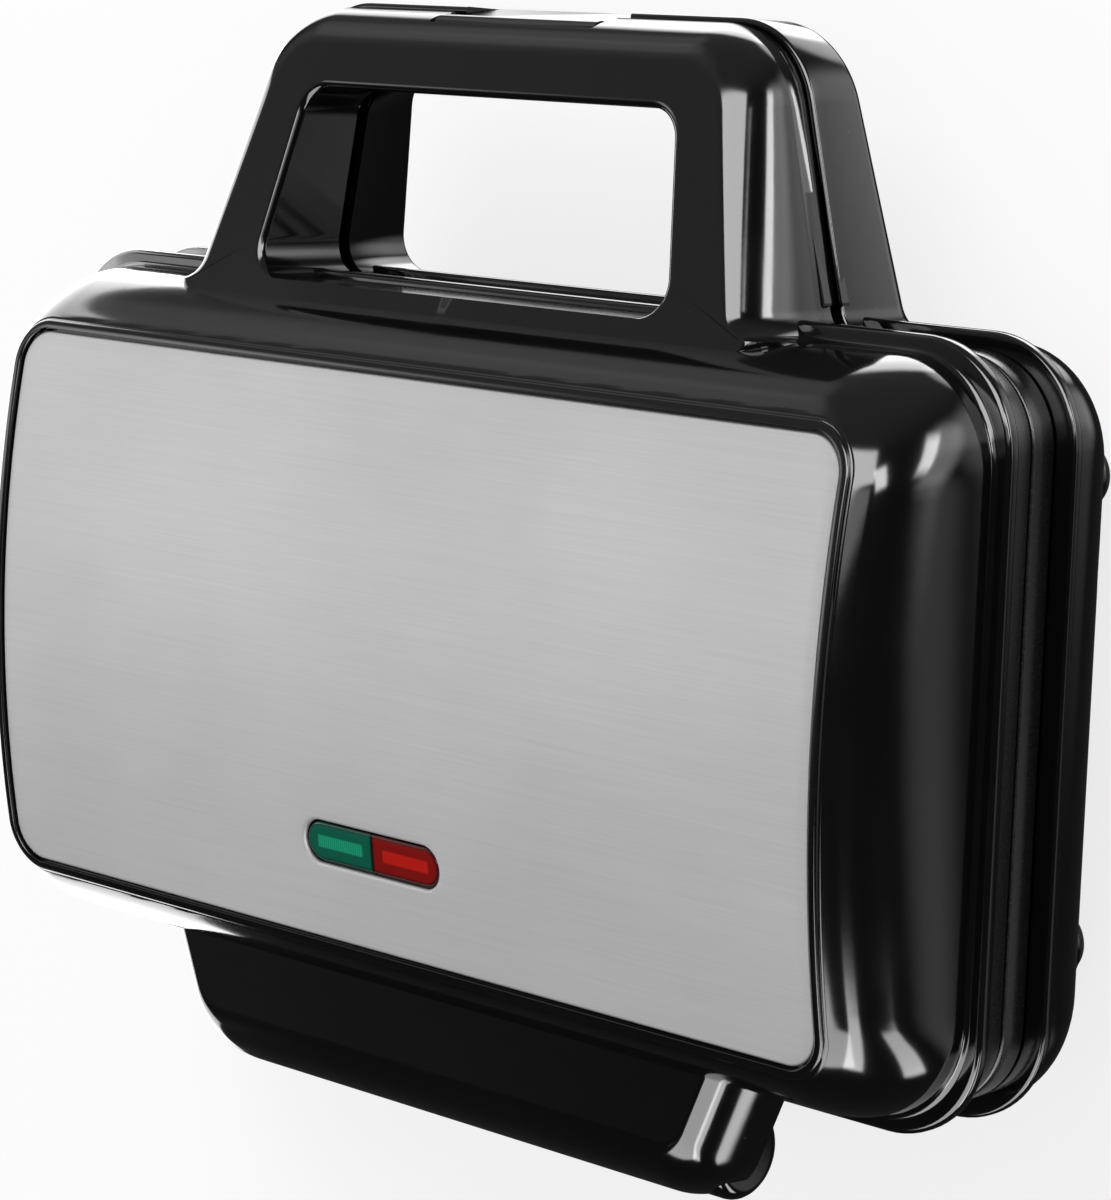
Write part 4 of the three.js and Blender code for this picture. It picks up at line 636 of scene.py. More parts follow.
def makeHingeCover():
    # rings going up: upright, then a quarter ellipse inwards; the rear edge comes forward by
    # another quarter ellipse from the pin's height on
    rounding, top, pinH = hinge["round"], hinge["top"], hinge["pinH"]
    shoulder = top - hinge["roundDeep"]
    upright = np.linspace(pinH, shoulder, 4)[:-1]
    inset, height = np.vstack([np.stack([0 * upright, upright], -1),
                               arc((rounding, shoulder), (rounding, hinge["roundDeep"]), 180, 90, 26),
                               (rounding + hinge["flatEdge"], top), (rounding + hinge["flatIn"], top)]).T
    climb = np.clip((height - pinH) / (top - pinH), 0, 1)
    rear = hinge["rearRound"] * (1 - np.cos(np.arcsin(climb)))
    rearY = hinge["pinY"] + hinge["barrel"]
    slope = (hinge["rearHalf"] - hinge["frontHalf"]) / (rearY - hinge["frontY"])
    x, y = taperedRing(hinge["frontY"], rearY - rear, hinge["frontHalf"] - inset,
                       hinge["rearHalf"] - inset - slope * rear, hinge["frontCorner"],
                       hinge["corner"] - inset, side=24)
    cover = meshPiece("hingeCover", [closedLoft(np.stack([x, y, height[:, None] + 0 * x], -1))], glossPlastic)
    radius, half = hinge["roomRadius"], hinge["roomHalf"]
    room = revolve([(onAxis, -half), (radius, -half), (radius, half), (onAxis, half)],
                   (0, hinge["pinY"], pinH), "x", 72)
    return cutWith(cover, [meshPiece("room", [room], glossPlastic)])


def makeBarrels():
    # short cylinders round the pins, their outer ends well rounded
    radius, inner, outer = hinge["barrel"], hinge["roomHalf"], hinge["barrelHalf"]
    rounding, edge = hinge["barrelRound"], hinge["barrelEdge"]
    profile = np.vstack([(onAxis, inner), (radius - edge, inner), (radius, inner + edge),
                         arc((radius - rounding, outer - rounding), rounding, 0, 90, 8), (onAxis, outer)])
    parts = [revolve(profile * (1, hand), (0, hinge["pinY"], hinge["pinH"]), "x", 72) for hand in (-1, 1)]
    return meshPiece("barrels", parts, glossPlastic)


lidShell = meshPiece("lidShell", [makeLidShell()], glossPlastic)
joinPieces(lidShell, [makeHandle("lidHandleHalf", lidHandle), makeHingeCover(), makeBarrels()])
finishPiece(lidShell, "lid", "gloss_black", "lid_shell")
print("lid shell made")


# the base's shell
base = dict(flangeX=136.0, flangeY=76.75, corner=21.5, flangeLow=7.0, flangeHigh=9.6, flangeRound=0.7,
            wallInset=2.0, wallFillet=0.8, wallDeep=12.5, wall=2.5,
            roundWide=18.0, roundDeep=19.0, bottomCorner=12.0, innerCorner=17.0, innerCornerLoss=8.0,
            floorX=100.0, floorY=45.0, floorCorner=8.0,
            footX=113.0, footY=47.0, footPost=9.0, postHigh=5.5, postSunk=1.5, postFillet=1.2, postRound=0.6,
            ventX=52.0, ventHalf=14.0, ventWide=1.6, ventPitch=8.0, ventCount=5, ventRound=1.4,
            ventBelow=3.0, ventAbove=6.0)
baseDeep = base["wallDeep"] + base["roundDeep"]
inlet = dict(x=66.0, y=76.0, h=-19.5, bossRadius=9.0, bossFrom=70.0, bossRound=0.6)


def makeBaseShell():
    # one section from the floor inside up to the flange and down over the rounded side, a quarter
    # ellipse; heights count down from the parting plane and are mirrored at the end
    wallX, wallY = base["flangeX"] - base["wallInset"], base["flangeY"] - base["wallInset"]
    wallCorner = base["corner"] - base["wallInset"]
    levels = [(base["floorX"], base["floorY"], base["floorCorner"], baseDeep - base["wall"], 0)]
    for turn in np.radians(np.linspace(90, 0, 8)):
        across = 1 - math.cos(turn)
        inset = base["wall"] + base["roundWide"] * across
        levels.append((wallX - inset, wallY - inset,
                       base["innerCorner"] - base["innerCornerLoss"] * across ** 2,
                       base["wallDeep"] + (base["roundDeep"] - base["wall"]) * math.sin(turn), 0))
    levels.append((wallX - base["wall"], wallY - base["wall"], base["innerCorner"], base["flangeLow"], 0))
    flange = (base["flangeX"], base["flangeY"], base["corner"])
    rim, fillet = base["flangeRound"], base["wallFillet"]
    levels += rimLevels(flange, arc((-rim, base["flangeLow"] + rim), rim, -90, 0, 5))
    levels += rimLevels(flange, arc((-rim, base["flangeHigh"] - rim), rim, 0, 90, 5))
    levels += rimLevels((wallX, wallY, wallCorner),
                        arc((fillet, base["flangeHigh"] + fillet), fillet, 270, 180, 5))
    for turn in np.radians(np.linspace(0, 90, 24)):
        across = 1 - math.cos(turn)
        levels.append((wallX - base["roundWide"] * across, wallY - base["roundWide"] * across,
                       wallCorner - (base["corner"] - base["bottomCorner"]) * across ** 2,
                       base["wallDeep"] + base["roundDeep"] * math.sin(turn), 0))
    levels.append((base["floorX"], base["floorY"], base["floorCorner"], baseDeep, 0))
    shell = meshPiece("baseShell", [closedLoft(rectangleRings(levels, side=30) * (1, 1, -1))], glossPlastic)
    slots = []
    for middle in (-base["ventX"], base["ventX"]):
        for number in range(base["ventCount"]):
            y = (number - (base["ventCount"] - 1) / 2) * base["ventPitch"]
            low = (middle - base["ventHalf"], y - base["ventWide"], -baseDeep - base["ventBelow"])
            high = (middle + base["ventHalf"], y + base["ventWide"], -baseDeep + base["ventAbove"])
            slots.append(blockCutter(low, high, base["ventRound"]))
    return cutWith(shell, [joinPieces(slots[0], slots[1:])])


def makeFootPosts():
    # round posts that carry the feet, with a fillet at the root and a round at the end
    end = -baseDeep - base["postHigh"]
    root = base["footPost"] + base["postFillet"]
    profile = np.vstack([
        (onAxis, -baseDeep + base["postSunk"]), (root, -baseDeep + base["postSunk"]),
        arc((root, -baseDeep - base["postFillet"]), base["postFillet"], 90, 180, 5),
        arc((base["footPost"] - base["postRound"], end + base["postRound"]), base["postRound"], 0, -90, 5),
        (onAxis, end)])
    parts = [revolve(profile, (x, y, 0)) for x in (-base["footX"], base["footX"])
             for y in (-base["footY"], base["footY"])]
    return meshPiece("footPosts", parts, glossPlastic)


def makeHingeArm():
    # knuckle round the pins and the web that carries it, and the block the part stands on when upright
    radius, half, edge = hinge["knuckle"], hinge["knuckleHalf"], hinge["knuckleEdge"]
    pinY, pinH = hinge["pinY"], hinge["pinH"]
    front, neck, rear = hinge["armFront"], hinge["armNeck"], hinge["armRear"]
    low, top = -hinge["armDeep"], hinge["armTop"]
    small, large = hinge["armEdge"], hinge["armRound"]
    knuckle = revolve([(onAxis, -half), (radius - edge, -half), (radius, edge - half), (radius, half - edge),
                       (radius - edge, half), (onAxis, half)], (0, pinY, pinH), "x", 64)
    outline = roundPolygon([(front, low), (rear, low), (rear, pinH), (pinY - radius + edge, pinH), (neck, top),
                            (front, top)], [small, large, small, small, large, small])
    web = prism(outline, -half, half)
    rounding = hinge["standRound"]
    inset, deep = np.vstack([arc((rounding, hinge["standTop"] + rounding), rounding, 270, 180, 5),
                             arc((rounding, baseDeep - rounding), rounding, 180, 90, 5)]).T
    x, y = taperedRing(hinge["standFront"], pinY + hinge["barrel"] - inset, hinge["standHalf"] - inset,
                       hinge["standHalf"] - inset, hinge["standFrontCorner"], hinge["standCorner"] - inset,
                       side=6)
    stand = closedLoft(np.stack([x, y, -deep[:, None] + 0 * x], -1))
    rounding, rim = inlet["bossRound"], inlet["bossRadius"]
    profile = np.vstack([(onAxis, inlet["bossFrom"]), (rim, inlet["bossFrom"]),
                         arc((rim - rounding, inlet["y"] - rounding), rounding, 0, 90, 4),
                         (onAxis, inlet["y"])])
    boss = revolve(profile, (inlet["x"], 0, inlet["h"]), "y")
    return meshPiece("hingeArm", [knuckle, web, stand, boss], glossPlastic)


# ridge that the clip's lip hooks under: it stands out from the recess and slopes back below
catch = dict(out=2.1, sunk=1.0, topH=-6.5, edgeH=-8.6, lowH=-10.1, round=0.4, half=22.1, endRound=0.3)


def makeCatchRidge():
    rootY = handle["recessY"] + catch["sunk"]
    edgeY = handle["recessY"] - catch["out"]
    outline = roundPolygon([(rootY, catch["lowH"]), (edgeY, catch["lowH"]), (edgeY, catch["edgeH"]),
                            (handle["recessY"], catch["topH"]), (rootY, catch["topH"])],
                           [0, catch["round"], catch["round"], 0, 0])
    ridge = prism(outline, -catch["half"], catch["half"], catch["endRound"])
    return meshPiece("catchRidge", [ridge], glossPlastic)


baseShell = makeBaseShell()
baseHandleHalf = makeHandle("baseHandleHalf", baseHandle)
joinPieces(baseShell, [baseHandleHalf, makeCatchRidge(), makeFootPosts(), makeHingeArm()])
finishPiece(baseShell, "base", "gloss_black", "base_shell")
print("base shell made")


# steel panel and lenses
panel = dict(thick=0.8, roll=0.55, holeHalf=19.95, holeRadius=4.6, lip=0.8, lipDeep=1.05, underOut=0.3)


def stadiumRing(halfLength, radius, count):
    # stadium walked in even steps from the middle of its front side: half a side, a half circle,
    # a side, a half circle and half a side
    straight = halfLength - radius
    marks = np.cumsum([straight, math.pi * radius, 2 * straight, math.pi * radius])
    walked = np.linspace(0, marks[-1] + straight, count, endpoint=False)
    stretch = [walked < mark for mark in marks]
    rightTurn = (walked - marks[0]) / radius - math.pi / 2
    leftTurn = (walked - marks[2]) / radius + math.pi / 2
    rear = radius + 0 * walked
    x = np.select(stretch, [walked, straight + radius * np.cos(rightTurn), straight - (walked - marks[1]),
                            -straight + radius * np.cos(leftTurn)], -straight + (walked - marks[3]))
    y = np.select(stretch, [-rear, radius * np.sin(rightTurn), rear, radius * np.sin(leftTurn)], -rear)
    return x, y + lens["y"]


def panelOutline(inset):
    halfX, halfY, corner = (lid[key] - inset for key in ("panelX", "panelY", "panelCorner"))
    x, y = taperedRing(-halfY, halfY, halfX, halfX, corner, corner, flat=40, bend=20, side=60)
    return np.stack([x[0], y[0]], -1)


def makePanel():
    # sheet between the lens opening and its own rim: straight lines from one outline to the other,
    # lifted by the crown; the rim and the opening's lip turn down in small rounds
    outer, rolled = panelOutline(0), panelOutline(panel["roll"])
    middle = np.array([0, lens["y"]])
    lip = panel["lip"]
    holeX, holeY = stadiumRing(panel["holeHalf"] + lip, panel["holeRadius"] + lip, len(outer))
    # the hole's points follow the angles under which the rim's points are seen from the hole
    aim = np.unwrap(np.arctan2(outer[:, 1] - lens["y"], outer[:, 0]))
    own = np.unwrap(np.arctan2(holeY - lens["y"], holeX))
    aim = aim - round((aim[0] - own[0]) / (2 * math.pi)) * 2 * math.pi
    longOwn = np.concatenate([own - 2 * math.pi, own, own + 2 * math.pi])
    hole = np.stack([np.interp(aim, longOwn, np.tile(values, 3)) for values in (holeX, holeY)], -1)

    def lifted(flat, fall):
        return np.concatenate([flat, lid["panelTop"] - fall + lidCrown(flat[..., 1:])], -1)

    # the lip falls in a quarter round and ends in a short wall
    core = panel["holeHalf"] - panel["holeRadius"]
    fromMiddle = hole - middle - np.stack([np.clip(hole[:, 0], -core, core), 0 * hole[:, 1]], -1)
    inward = -fromMiddle / np.linalg.norm(fromMiddle, axis=1, keepdims=True)
    rows = [lifted(hole + inward * lip, panel["lipDeep"])]
    rows += [lifted(hole + inward * lip * math.sin(turn), lip * (1 - math.cos(turn)))
             for turn in np.radians([90, 72, 54, 36, 18])]
    # rows lie closest together where the lip starts
    rows += [lifted(hole + (rolled - hole) * share, 0) for share in [0, 0.02, *np.linspace(0.06, 1, 40)]]
    rows += [lifted(rolled + (outer - rolled) * math.sin(turn), panel["roll"] * (1 - math.cos(turn)))
             for turn in np.radians([25, 50, 75, 90])]
    rows.append(lifted(outer, panel["thick"]))
    rows.append(lifted(hole - inward * panel["underOut"], panel["thick"]))
    return meshPiece("steelPanel", [closedTorus(np.stack(rows))], brushedSteel, 40)


def makeLens(name, hand, material):
    # half a stadium with a flange below and a round rim, its top following the crown just proud of
    # the panel; the flange lies level under the panel
    radius, flangeTop, rounding = lens["radius"], lens["flangeTop"], lens["rimRound"]
    roundX = lens["halfLength"] - radius
    specs = [(lens["flangeOut"], lens["low"]), (lens["flangeOut"], flangeTop), (0, flangeTop + lens["step"])]
    specs += [(-grow, height) for grow, height in
              arc((rounding, lens["top"] - rounding), rounding, 180, 90, 6)]
    specs += [(-lens["flatFrom"], lens["top"] + lens["flatRise"])]
    rows = []
    for grow, height in specs:
        reach = radius + grow
        atSplit = np.stack([np.full(7, lens["split"]), np.linspace(reach, -reach, 7)], -1)
        front = np.stack([np.linspace(lens["split"], roundX, 12)[1:-1], np.full(10, -reach)], -1)
        ring = np.concatenate([front, arc((roundX, 0), reach, -90, 90, 28), front[::-1] * (1, -1), atSplit])
        y = ring[:, 1] + lens["y"]
        onFlange = height < flangeTop + lens["step"] / 2
        rise = lidCrown(lens["y"]) - lens["sunk"] + 0 * y if onFlange else lidCrown(y)
        rows.append(np.stack([hand * ring[:, 0], y, height + rise], -1))
    return meshPiece(name, [closedLoft(np.stack(rows))], material)


finishPiece(makePanel(), "lid", "steel", "steel_panel")
finishPiece(makeLens("greenLens", 1, greenLensPlastic), "lid", "green_plastic", "green_lens")
finishPiece(makeLens("redLens", -1, redLensPlastic), "lid", "red_plastic", "red_lens")
print("panel and lenses made")


# waist frames: band seen between the flanges, wall behind it, and a ledge that seats the plate
waist = dict(x=131.4, y=73.15, corner=17.9, low=0.3, round=0.5, edge=0.3, upperTop=8.2, lowerTop=6.7,
             band=4.2, wallTop=12.4, wallIn=6.5, ledgeTop=6.4, ledgeIn=6.9, ledgeLow=3.9, seatIn=3.5,
             seatEdge=0.2)


def makeFrame(name, side, bandTop):
    # closed section of (inset, height) walked round the waist
    rounding, edge, seat = waist["round"], waist["edge"], waist["seatEdge"]
    section = np.vstack([
        arc((rounding, waist["low"] + rounding), rounding, 270, 180, 4),
        (0, bandTop - edge), (edge, bandTop), (waist["band"], bandTop), (waist["band"], waist["wallTop"]),
        (waist["wallIn"], waist["wallTop"]), (waist["wallIn"], waist["ledgeTop"]),
        (waist["ledgeIn"], waist["ledgeTop"]), (waist["ledgeIn"], waist["ledgeLow"]),
        (waist["seatIn"], waist["ledgeLow"]), (waist["seatIn"], waist["low"] + seat),
        (waist["seatIn"] - seat, waist["low"])])
    levels = rimLevels((waist["x"], waist["y"], waist["corner"]), section * (-1, 1))
    return meshPiece(name, [closedTorus(rectangleRings(levels) * (1, 1, side))], mattPlastic)


# cooking plates; soft rounds the pockets' corners, ridge is half the land between two triangles
plate = dict(x=127.6, y=69.35, corner=14.1, rimLow=0.5, rimHigh=3.5, deep=13.0, draft=8.6, wall=2.4,
             middle=4.0, reach=62.0, outerX=120.5, ridge=3.5, soft=2.2, across=210, along=116, edgeShare=0.25)


def pocketDepth(x, y, extra=0.0):
    # depth from the distance to a triangle's nearest side, softened at its corners by a smooth least value,
    # and run through half a cosine wave; the deeper of a square's two triangles counts
    middle, outerX, reach = plate["middle"], plate["outerX"], plate["reach"]
    out = np.abs(x)
    run, rise = outerX - middle, 2 * reach
    # signed distance to the diagonal of each square
    diagonal = ((out - middle) * rise - (y + reach) * run) / math.hypot(run, rise)
    shares = []
    for toSides in ((diagonal, outerX - out, reach + y), (-diagonal, out - middle, reach - y)):
        distances = np.stack([toSides[0] - plate["ridge"], *toSides[1:]]) + extra
        least = -plate["soft"] * np.log(np.exp(-distances / plate["soft"]).sum(0))
        shares.append(0.5 - 0.5 * np.cos(math.pi * np.clip(least / plate["draft"], 0, 1)))
    return np.maximum(*shares) * plate["deep"]


def makePlate(name, side):
    # height over a grid squeezed to the rounded rectangle: rim, pockets and their backs. the rows
    # crowd a little towards the ends by a share of a sine
    across, along, corner = plate["across"], plate["along"], plate["corner"]
    fromLeft = np.linspace(-1, 1, across)[None, :]
    crowded = np.sin(np.linspace(-math.pi / 2, math.pi / 2, along))
    fromFront = (1 - plate["edgeShare"]) * np.linspace(-1, 1, along) + plate["edgeShare"] * crowded
    y = fromFront[:, None] * plate["y"] + 0 * fromLeft
    over = np.clip(np.abs(y) - (plate["y"] - corner), 0, corner)
    x = fromLeft * (plate["x"] - (corner - np.sqrt(corner ** 2 - over ** 2)))
    face = plate["rimLow"] + pocketDepth(x, y)
    back = np.maximum(plate["rimHigh"], plate["rimLow"] + plate["wall"] + pocketDepth(x, y, plate["wall"]))
    points = np.concatenate([np.stack([x, y, side * height], -1).reshape(-1, 3) for height in (face, back)])
    row, column = np.meshgrid(np.arange(along - 1), np.arange(across - 1), indexing="ij")
    here = (row * across + column).ravel()
    front = np.stack([here, here + 1, here + across + 1, here + across], -1)
    size = across * along
    loop = np.concatenate([np.arange(across - 1), np.arange(along - 1) * across + across - 1,
                           size - 1 - np.arange(across - 1), np.arange(along - 1, 0, -1) * across])
    follow = np.roll(loop, -1)
    wallFaces = np.stack([loop, loop + size, follow + size, follow], -1)
    quads = np.concatenate([front, front[:, ::-1] + size, wallFaces])
    return meshPiece(name, [(points, quads, noTriangles)], coating)


finishPiece(makeFrame("upperFrame", 1, waist["upperTop"]), "lid", "matt_black", "upper_frame")
finishPiece(makeFrame("lowerFrame", -1, waist["lowerTop"]), "base", "matt_black", "lower_frame")
finishPiece(makePlate("upperPlate", 1), "lid", "coated_aluminium", "upper_plate")
finishPiece(makePlate("lowerPlate", -1), "base", "coated_aluminium", "lower_plate")
print("frames and plates made")


# latch clip: a plate with a lip inwards at its lower end and a knuckle on the pin
clip = dict(half=23.0, pivotY=-129.3, pivotH=6.0, knuckle=2.6, knuckleInset=0.2,
            outY=-131.2, thick=2.2, topH=8.4, bottomH=-12.2, lip=1.9, lipEdge=1.2, lipThick=2.1,
            endRound=0.8, restTurn=7.0)


def makeClip():
    # hooked outline carried along x, then turned out about the pin by the angle at rest
    inY, lipY = clip["outY"] + clip["thick"], clip["outY"] + clip["thick"] + clip["lip"]
    outline = roundPolygon(
        [(clip["outY"], clip["bottomH"]), (lipY, clip["bottomH"]), (lipY, clip["bottomH"] + clip["lipEdge"]),
         (inY, clip["bottomH"] + clip["lipThick"]), (inY, clip["topH"]), (clip["outY"], clip["topH"])],
        [0.8, 0.4, 0.3, 0.3, 0.6, 1.0])
    reach, radius = clip["half"] - clip["knuckleInset"], clip["knuckle"]
    pivot = (0, clip["pivotY"], clip["pivotH"])
    knuckle = [(onAxis, -reach), (radius, -reach), (radius, reach), (onAxis, reach)]
    turn = np.array(Matrix.Rotation(math.radians(-clip["restTurn"]), 3, "X"))
    parts = []
    for points, quads, triangles in (prism(outline, -clip["half"], clip["half"], clip["endRound"]),
                                     revolve(knuckle, pivot, "x", 40)):
        parts.append(((points - pivot) @ turn.T + pivot, quads, triangles))
    return meshPiece("latchClip", parts, glossPlastic)


finishPiece(makeClip(), "latch", "gloss_black", "latch_clip")


# rubber feet on the posts, each held by a screw; screwTop is where the screw's parts are measured from
foot = dict(radius=7.0, rimRound=0.9, hole=2.05, headHole=3.7, holeRound=0.4, seat=0.9, high=3.7, sunk=0.3,
            head=3.4, headRims=(2.9, 3.15, 3.3), headBack=1.2, headFace=2.7, headDome=0.5, shaft=1.75,
            shaftLong=14.0, crossTo=2.6,
            crossReach=2.0, crossHalf=0.45, crossDeep=1.1, crossFrom=1.15, crossSoft=0.3, centre=0.02)
screwTop = -baseDeep - base["postHigh"]
footTop = screwTop - foot["sunk"]


def makeFoot(name, x, y):
    # turned section: screw's seat, bore, rounded underside and side
    holeRound, rimRound, high = foot["holeRound"], foot["rimRound"], foot["high"]
    profile = np.vstack([
        (foot["hole"], foot["seat"]), (foot["headHole"], foot["seat"]),
        arc((foot["headHole"] + holeRound, high - holeRound), holeRound, 180, 90, 4),
        arc((foot["radius"] - rimRound, high - rimRound), rimRound, 90, 0, 6),
        (foot["radius"], 0.0), (foot["hole"], 0.0)])
    return meshPiece(name, [revolve(profile * (1, -1), (x, y, footTop), "z", 56, True)], rubber)


def makeFootScrew(name, x, y):
    # pan head with a cross recess pressed in: the head's height falls off inside two crossed bars
    radius = np.linspace(foot["centre"], foot["crossTo"], 22)
    radius = np.array([*radius, *foot["headRims"], foot["head"]])[:, None]
    turn = np.linspace(0, 2 * math.pi, 64, endpoint=False)[None, :]
    alongX, alongY = radius * np.cos(turn), radius * np.sin(turn)
    barX = np.maximum(np.abs(alongX) / foot["crossReach"], np.abs(alongY) / foot["crossHalf"])
    barY = np.maximum(np.abs(alongY) / foot["crossReach"], np.abs(alongX) / foot["crossHalf"])
    press = np.clip((foot["crossFrom"] - np.minimum(barX, barY)) / foot["crossSoft"], 0, 1)
    dome = foot["headFace"] - foot["headDome"] * (radius / foot["head"]) ** 2 - foot["crossDeep"] * press
    rows = [np.stack([alongX, alongY, -dome], -1)]
    for reach, height in [(foot["head"], foot["headBack"]), (foot["shaft"], foot["headBack"]),
                          (foot["shaft"], -foot["shaftLong"]), (foot["centre"], -foot["shaftLong"])]:
        rows.append(np.stack([reach * np.cos(turn), reach * np.sin(turn), -height + 0 * turn], -1))
    return meshPiece(name, [closedLoft(np.concatenate(rows) + (x, y, screwTop))], pinSteel)


for hand, word in ((-1, "left"), (1, "right")):
    for end, place in ((-1, "front"), (1, "rear")):
        x, y = hand * base["footX"], end * base["footY"]
        where = place + "_" + word
        finishPiece(makeFoot("rubberFoot_" + where, x, y), "base", "foot_rubber", "foot_" + where)
        finishPiece(makeFootScrew("screw_" + where, x, y), "base", "steel", "foot_screw_" + where)


def makeInlet():
    # gland: neck through the wall, flange, and a nose that narrows in three grip rings
    neck = [(2.9, -5.5), (5.6, -5.5), (5.6, 0.3)]
    nose = [(5.7, 2.5), (5.5, 3.8), (5.1, 3.9), (5.1, 4.5), (5.4, 4.6), (5.3, 5.8), (4.9, 5.9), (4.9, 6.5),
            (5.2, 6.6), (5.0, 8.9), (4.7, 9.3), (2.9, 9.3)]
    profile = np.vstack([neck, arc((7.1, 0.8), 0.5, -90, 0, 4), arc((7.1, 1.8), 0.5, 0, 90, 4), nose])
    gland = revolve(profile, (inlet["x"], inlet["y"], inlet["h"]), "y", 48, True)
    return meshPiece("cordInlet", [gland], mattPlastic)


finishPiece(makeInlet(), "base", "matt_black", "cord_inlet")
print("clip, feet and inlet made")


# CAD nodes that stay
finishes = {
    mattPlastic: ["upper_handle_cover", "lower_handle_cover"],
    pinSteel: ["latch_pin", "hinge_pin_left", "hinge_pin_right"],
    elementSteel: ["upper_element", "lower_element"],
    sheetSteel: ["upper_reflector", "lower_reflector", "thermostat"],
    whiteNylon: ["lamp_holder", "terminal_block", "thermal_fuse"],
    lampGlass: ["green_lamp", "red_lamp"],
    redSleeving: ["supply_wire", "lower_element_wire", "upper_element_wire"],
}
for material, names in finishes.items():
    for name in names:
        for holder in frame["nodes"][name].material_slots:
            holder.material = material
print("CAD nodes finished")


# stage: camera, lamps, floor
# the photograph shows the part standing on its hinge end, so the camera hangs over the lid and is
# turned. focus and the photograph's longer side, frameHigh, are in its pixels
stage = dict(place=(-574.5, -138.3, 587.8), right=(-0.717, -0.0335, -0.6962), up=(0.1305, -0.9876, -0.0869),
             focus=3953.0, frameHigh=1200.0, sensor=36.0, clipEnd=50.0)

right, up = Vector(stage["right"]).normalized(), Vector(stage["up"]).normalized()
back = right.cross(up).normalized()
up = back.cross(right).normalized()


def placed(where, axes):
    # matrix with the three axes as its columns
    return Matrix.Translation(Vector(where)) @ Matrix(axes).transposed().to_4x4()


camera = addObject("camera", bpy.data.cameras.new("camera"))
camera.matrix_world = placed(toRow(stage["place"]), (right, up, back))
camera.data.sensor_width = stage["sensor"]
camera.data.lens = stage["focus"] / stage["frameHigh"] * stage["sensor"]
camera.data.clip_end = stage["clipEnd"]
bpy.context.scene.camera = camera


def towards(rightDegrees, upDegrees):
    # direction that lies so many degrees right of the camera and above it, seen from the part
    away = math.radians(math.hypot(rightDegrees, upDegrees))
    around = math.atan2(upDegrees, rightDegrees)
    sideways = right * math.cos(around) + up * math.sin(around)
    return (back * math.cos(away) + sideways * math.sin(away)).normalized()


# lengths in metres, angles in degrees
studio = dict(
    centre=Vector((0.0, 0.0, 0.04)), away=10.0, seen=1.0, lit=0.45, dim=0.03,
    # soft boxes: direction, size, soft edge, turn, radiance; the strong ones are lamps
    lamps=[((-20, 22), (60, 32), (3, 5), 0, 10), ((18, 11.5), (13, 19), (2, 5), 15, 14),
           ((54, 22), (9, 26), (2, 12), 13, 14), ((-27, -57), (66, 40), (3, 5), 0, 6.5),
           ((16, -57), (15, 46), (2, 5), -12, 9), ((58, -55), (12, 40), (2, 6), -15, 7)],
    boxes=[((-14, 0), (38, 9), (5, 4), 0, 2.3), ((66, 17), (18, 42), (11, 13), 13, 2.4),
           ((79, -22), (12, 62), (10, 20), 0, 0.55), ((85, 40), (24, 60), (12, 20), 0, 0.8)],
    # round glows of the room: direction, full and fading radius, radiance
    glows=[((-10, 85), 20, 65, 0.2), ((-61, 78), 3, 15, 0.3), ((-50, 100), 3, 14, 0.25),
           ((22, 130), 12, 20, 5.5), ((-85, 40), 15, 45, 0.25), ((95, 30), 10, 30, 0.8),
           ((-46, 146), 8, 16, 2.5), ((70, 98), 8, 16, 3.0), ((-96, 6), 3, 10, 2.6)],
    # light tent: half its width, and each wall's direction and radiance
    tent=3.0,
    walls=[((1, 0, 0), 0.72), ((-1, 0, 0), 1.8), ((0, -1, 0), 0.76), ((0, 1, 0), 0.52), ((0, 0, 1), 0.68),
           ((0, 0, -1), 0.45)],
    # the lamp for dull surfaces, and the card at the lid's side: its middle, width, height, radiance
    key=((-30, 60), 3.0, 2.2, 4.2),
    card=((0.205, 0.041, 0.043), 0.347, 0.145, 4.2))
centre = studio["centre"]


def boxFrame(place, turn):
    # a box's direction, its side and its rise, turned about the direction
    direction = towards(*place)
    side = (right - direction * right.dot(direction)).normalized()
    side = Matrix.Rotation(math.radians(turn), 3, direction) @ side
    return direction, side, direction.cross(side).normalized()


def halfTan(degrees):
    return math.tan(math.radians(degrees / 2))


def alongAxis(tree, looking, axis):
    # how far the looking direction goes along an axis
    product = addNode(tree, "VectorMath", {"operation": "DOT_PRODUCT", 1: tuple(axis)}, {0: looking})
    return product.outputs["Value"]


def boxGlow(tree, looking, place, size, soft, turn, radiance):
    # direction split into depth, side and rise; side and rise over depth are tangents, each runs
    # through a smooth step over the soft edge, and the two are multiplied. behind the box the depth
    # is held above nought, which makes the tangents too large to count
    direction, side, rise = boxFrame(place, turn)
    depth = addNode(tree, "Math", {"operation": "MAXIMUM", 1: 0.05}, {0: alongAxis(tree, looking, direction)})
    steps = []
    for axis, wide, edge, top in zip((side, rise), size, soft, (radiance, 1.0)):
        off = addNode(tree, "Math", {"operation": "ABSOLUTE"}, {0: alongAxis(tree, looking, axis)})
        tangent = addNode(tree, "Math", {"operation": "DIVIDE"}, {0: off, 1: depth})
        steps.append(addNode(tree, "MapRange", {"interpolation_type": "SMOOTHSTEP", 1: halfTan(wide + edge),
                                                2: halfTan(wide - edge), 4: top}, {0: tangent}))
    return addNode(tree, "Math", {"operation": "MULTIPLY"}, {0: steps[0], 1: steps[1]})


def roundGlow(tree, looking, place, full, fade, radiance):
    # smooth step of the cosine between the direction and the glow's middle
    return addNode(tree, "MapRange", {"interpolation_type": "SMOOTHSTEP", 1: math.cos(math.radians(fade)),
                                      2: math.cos(math.radians(full)), 4: radiance},
                   {0: alongAxis(tree, looking, towards(*place))})


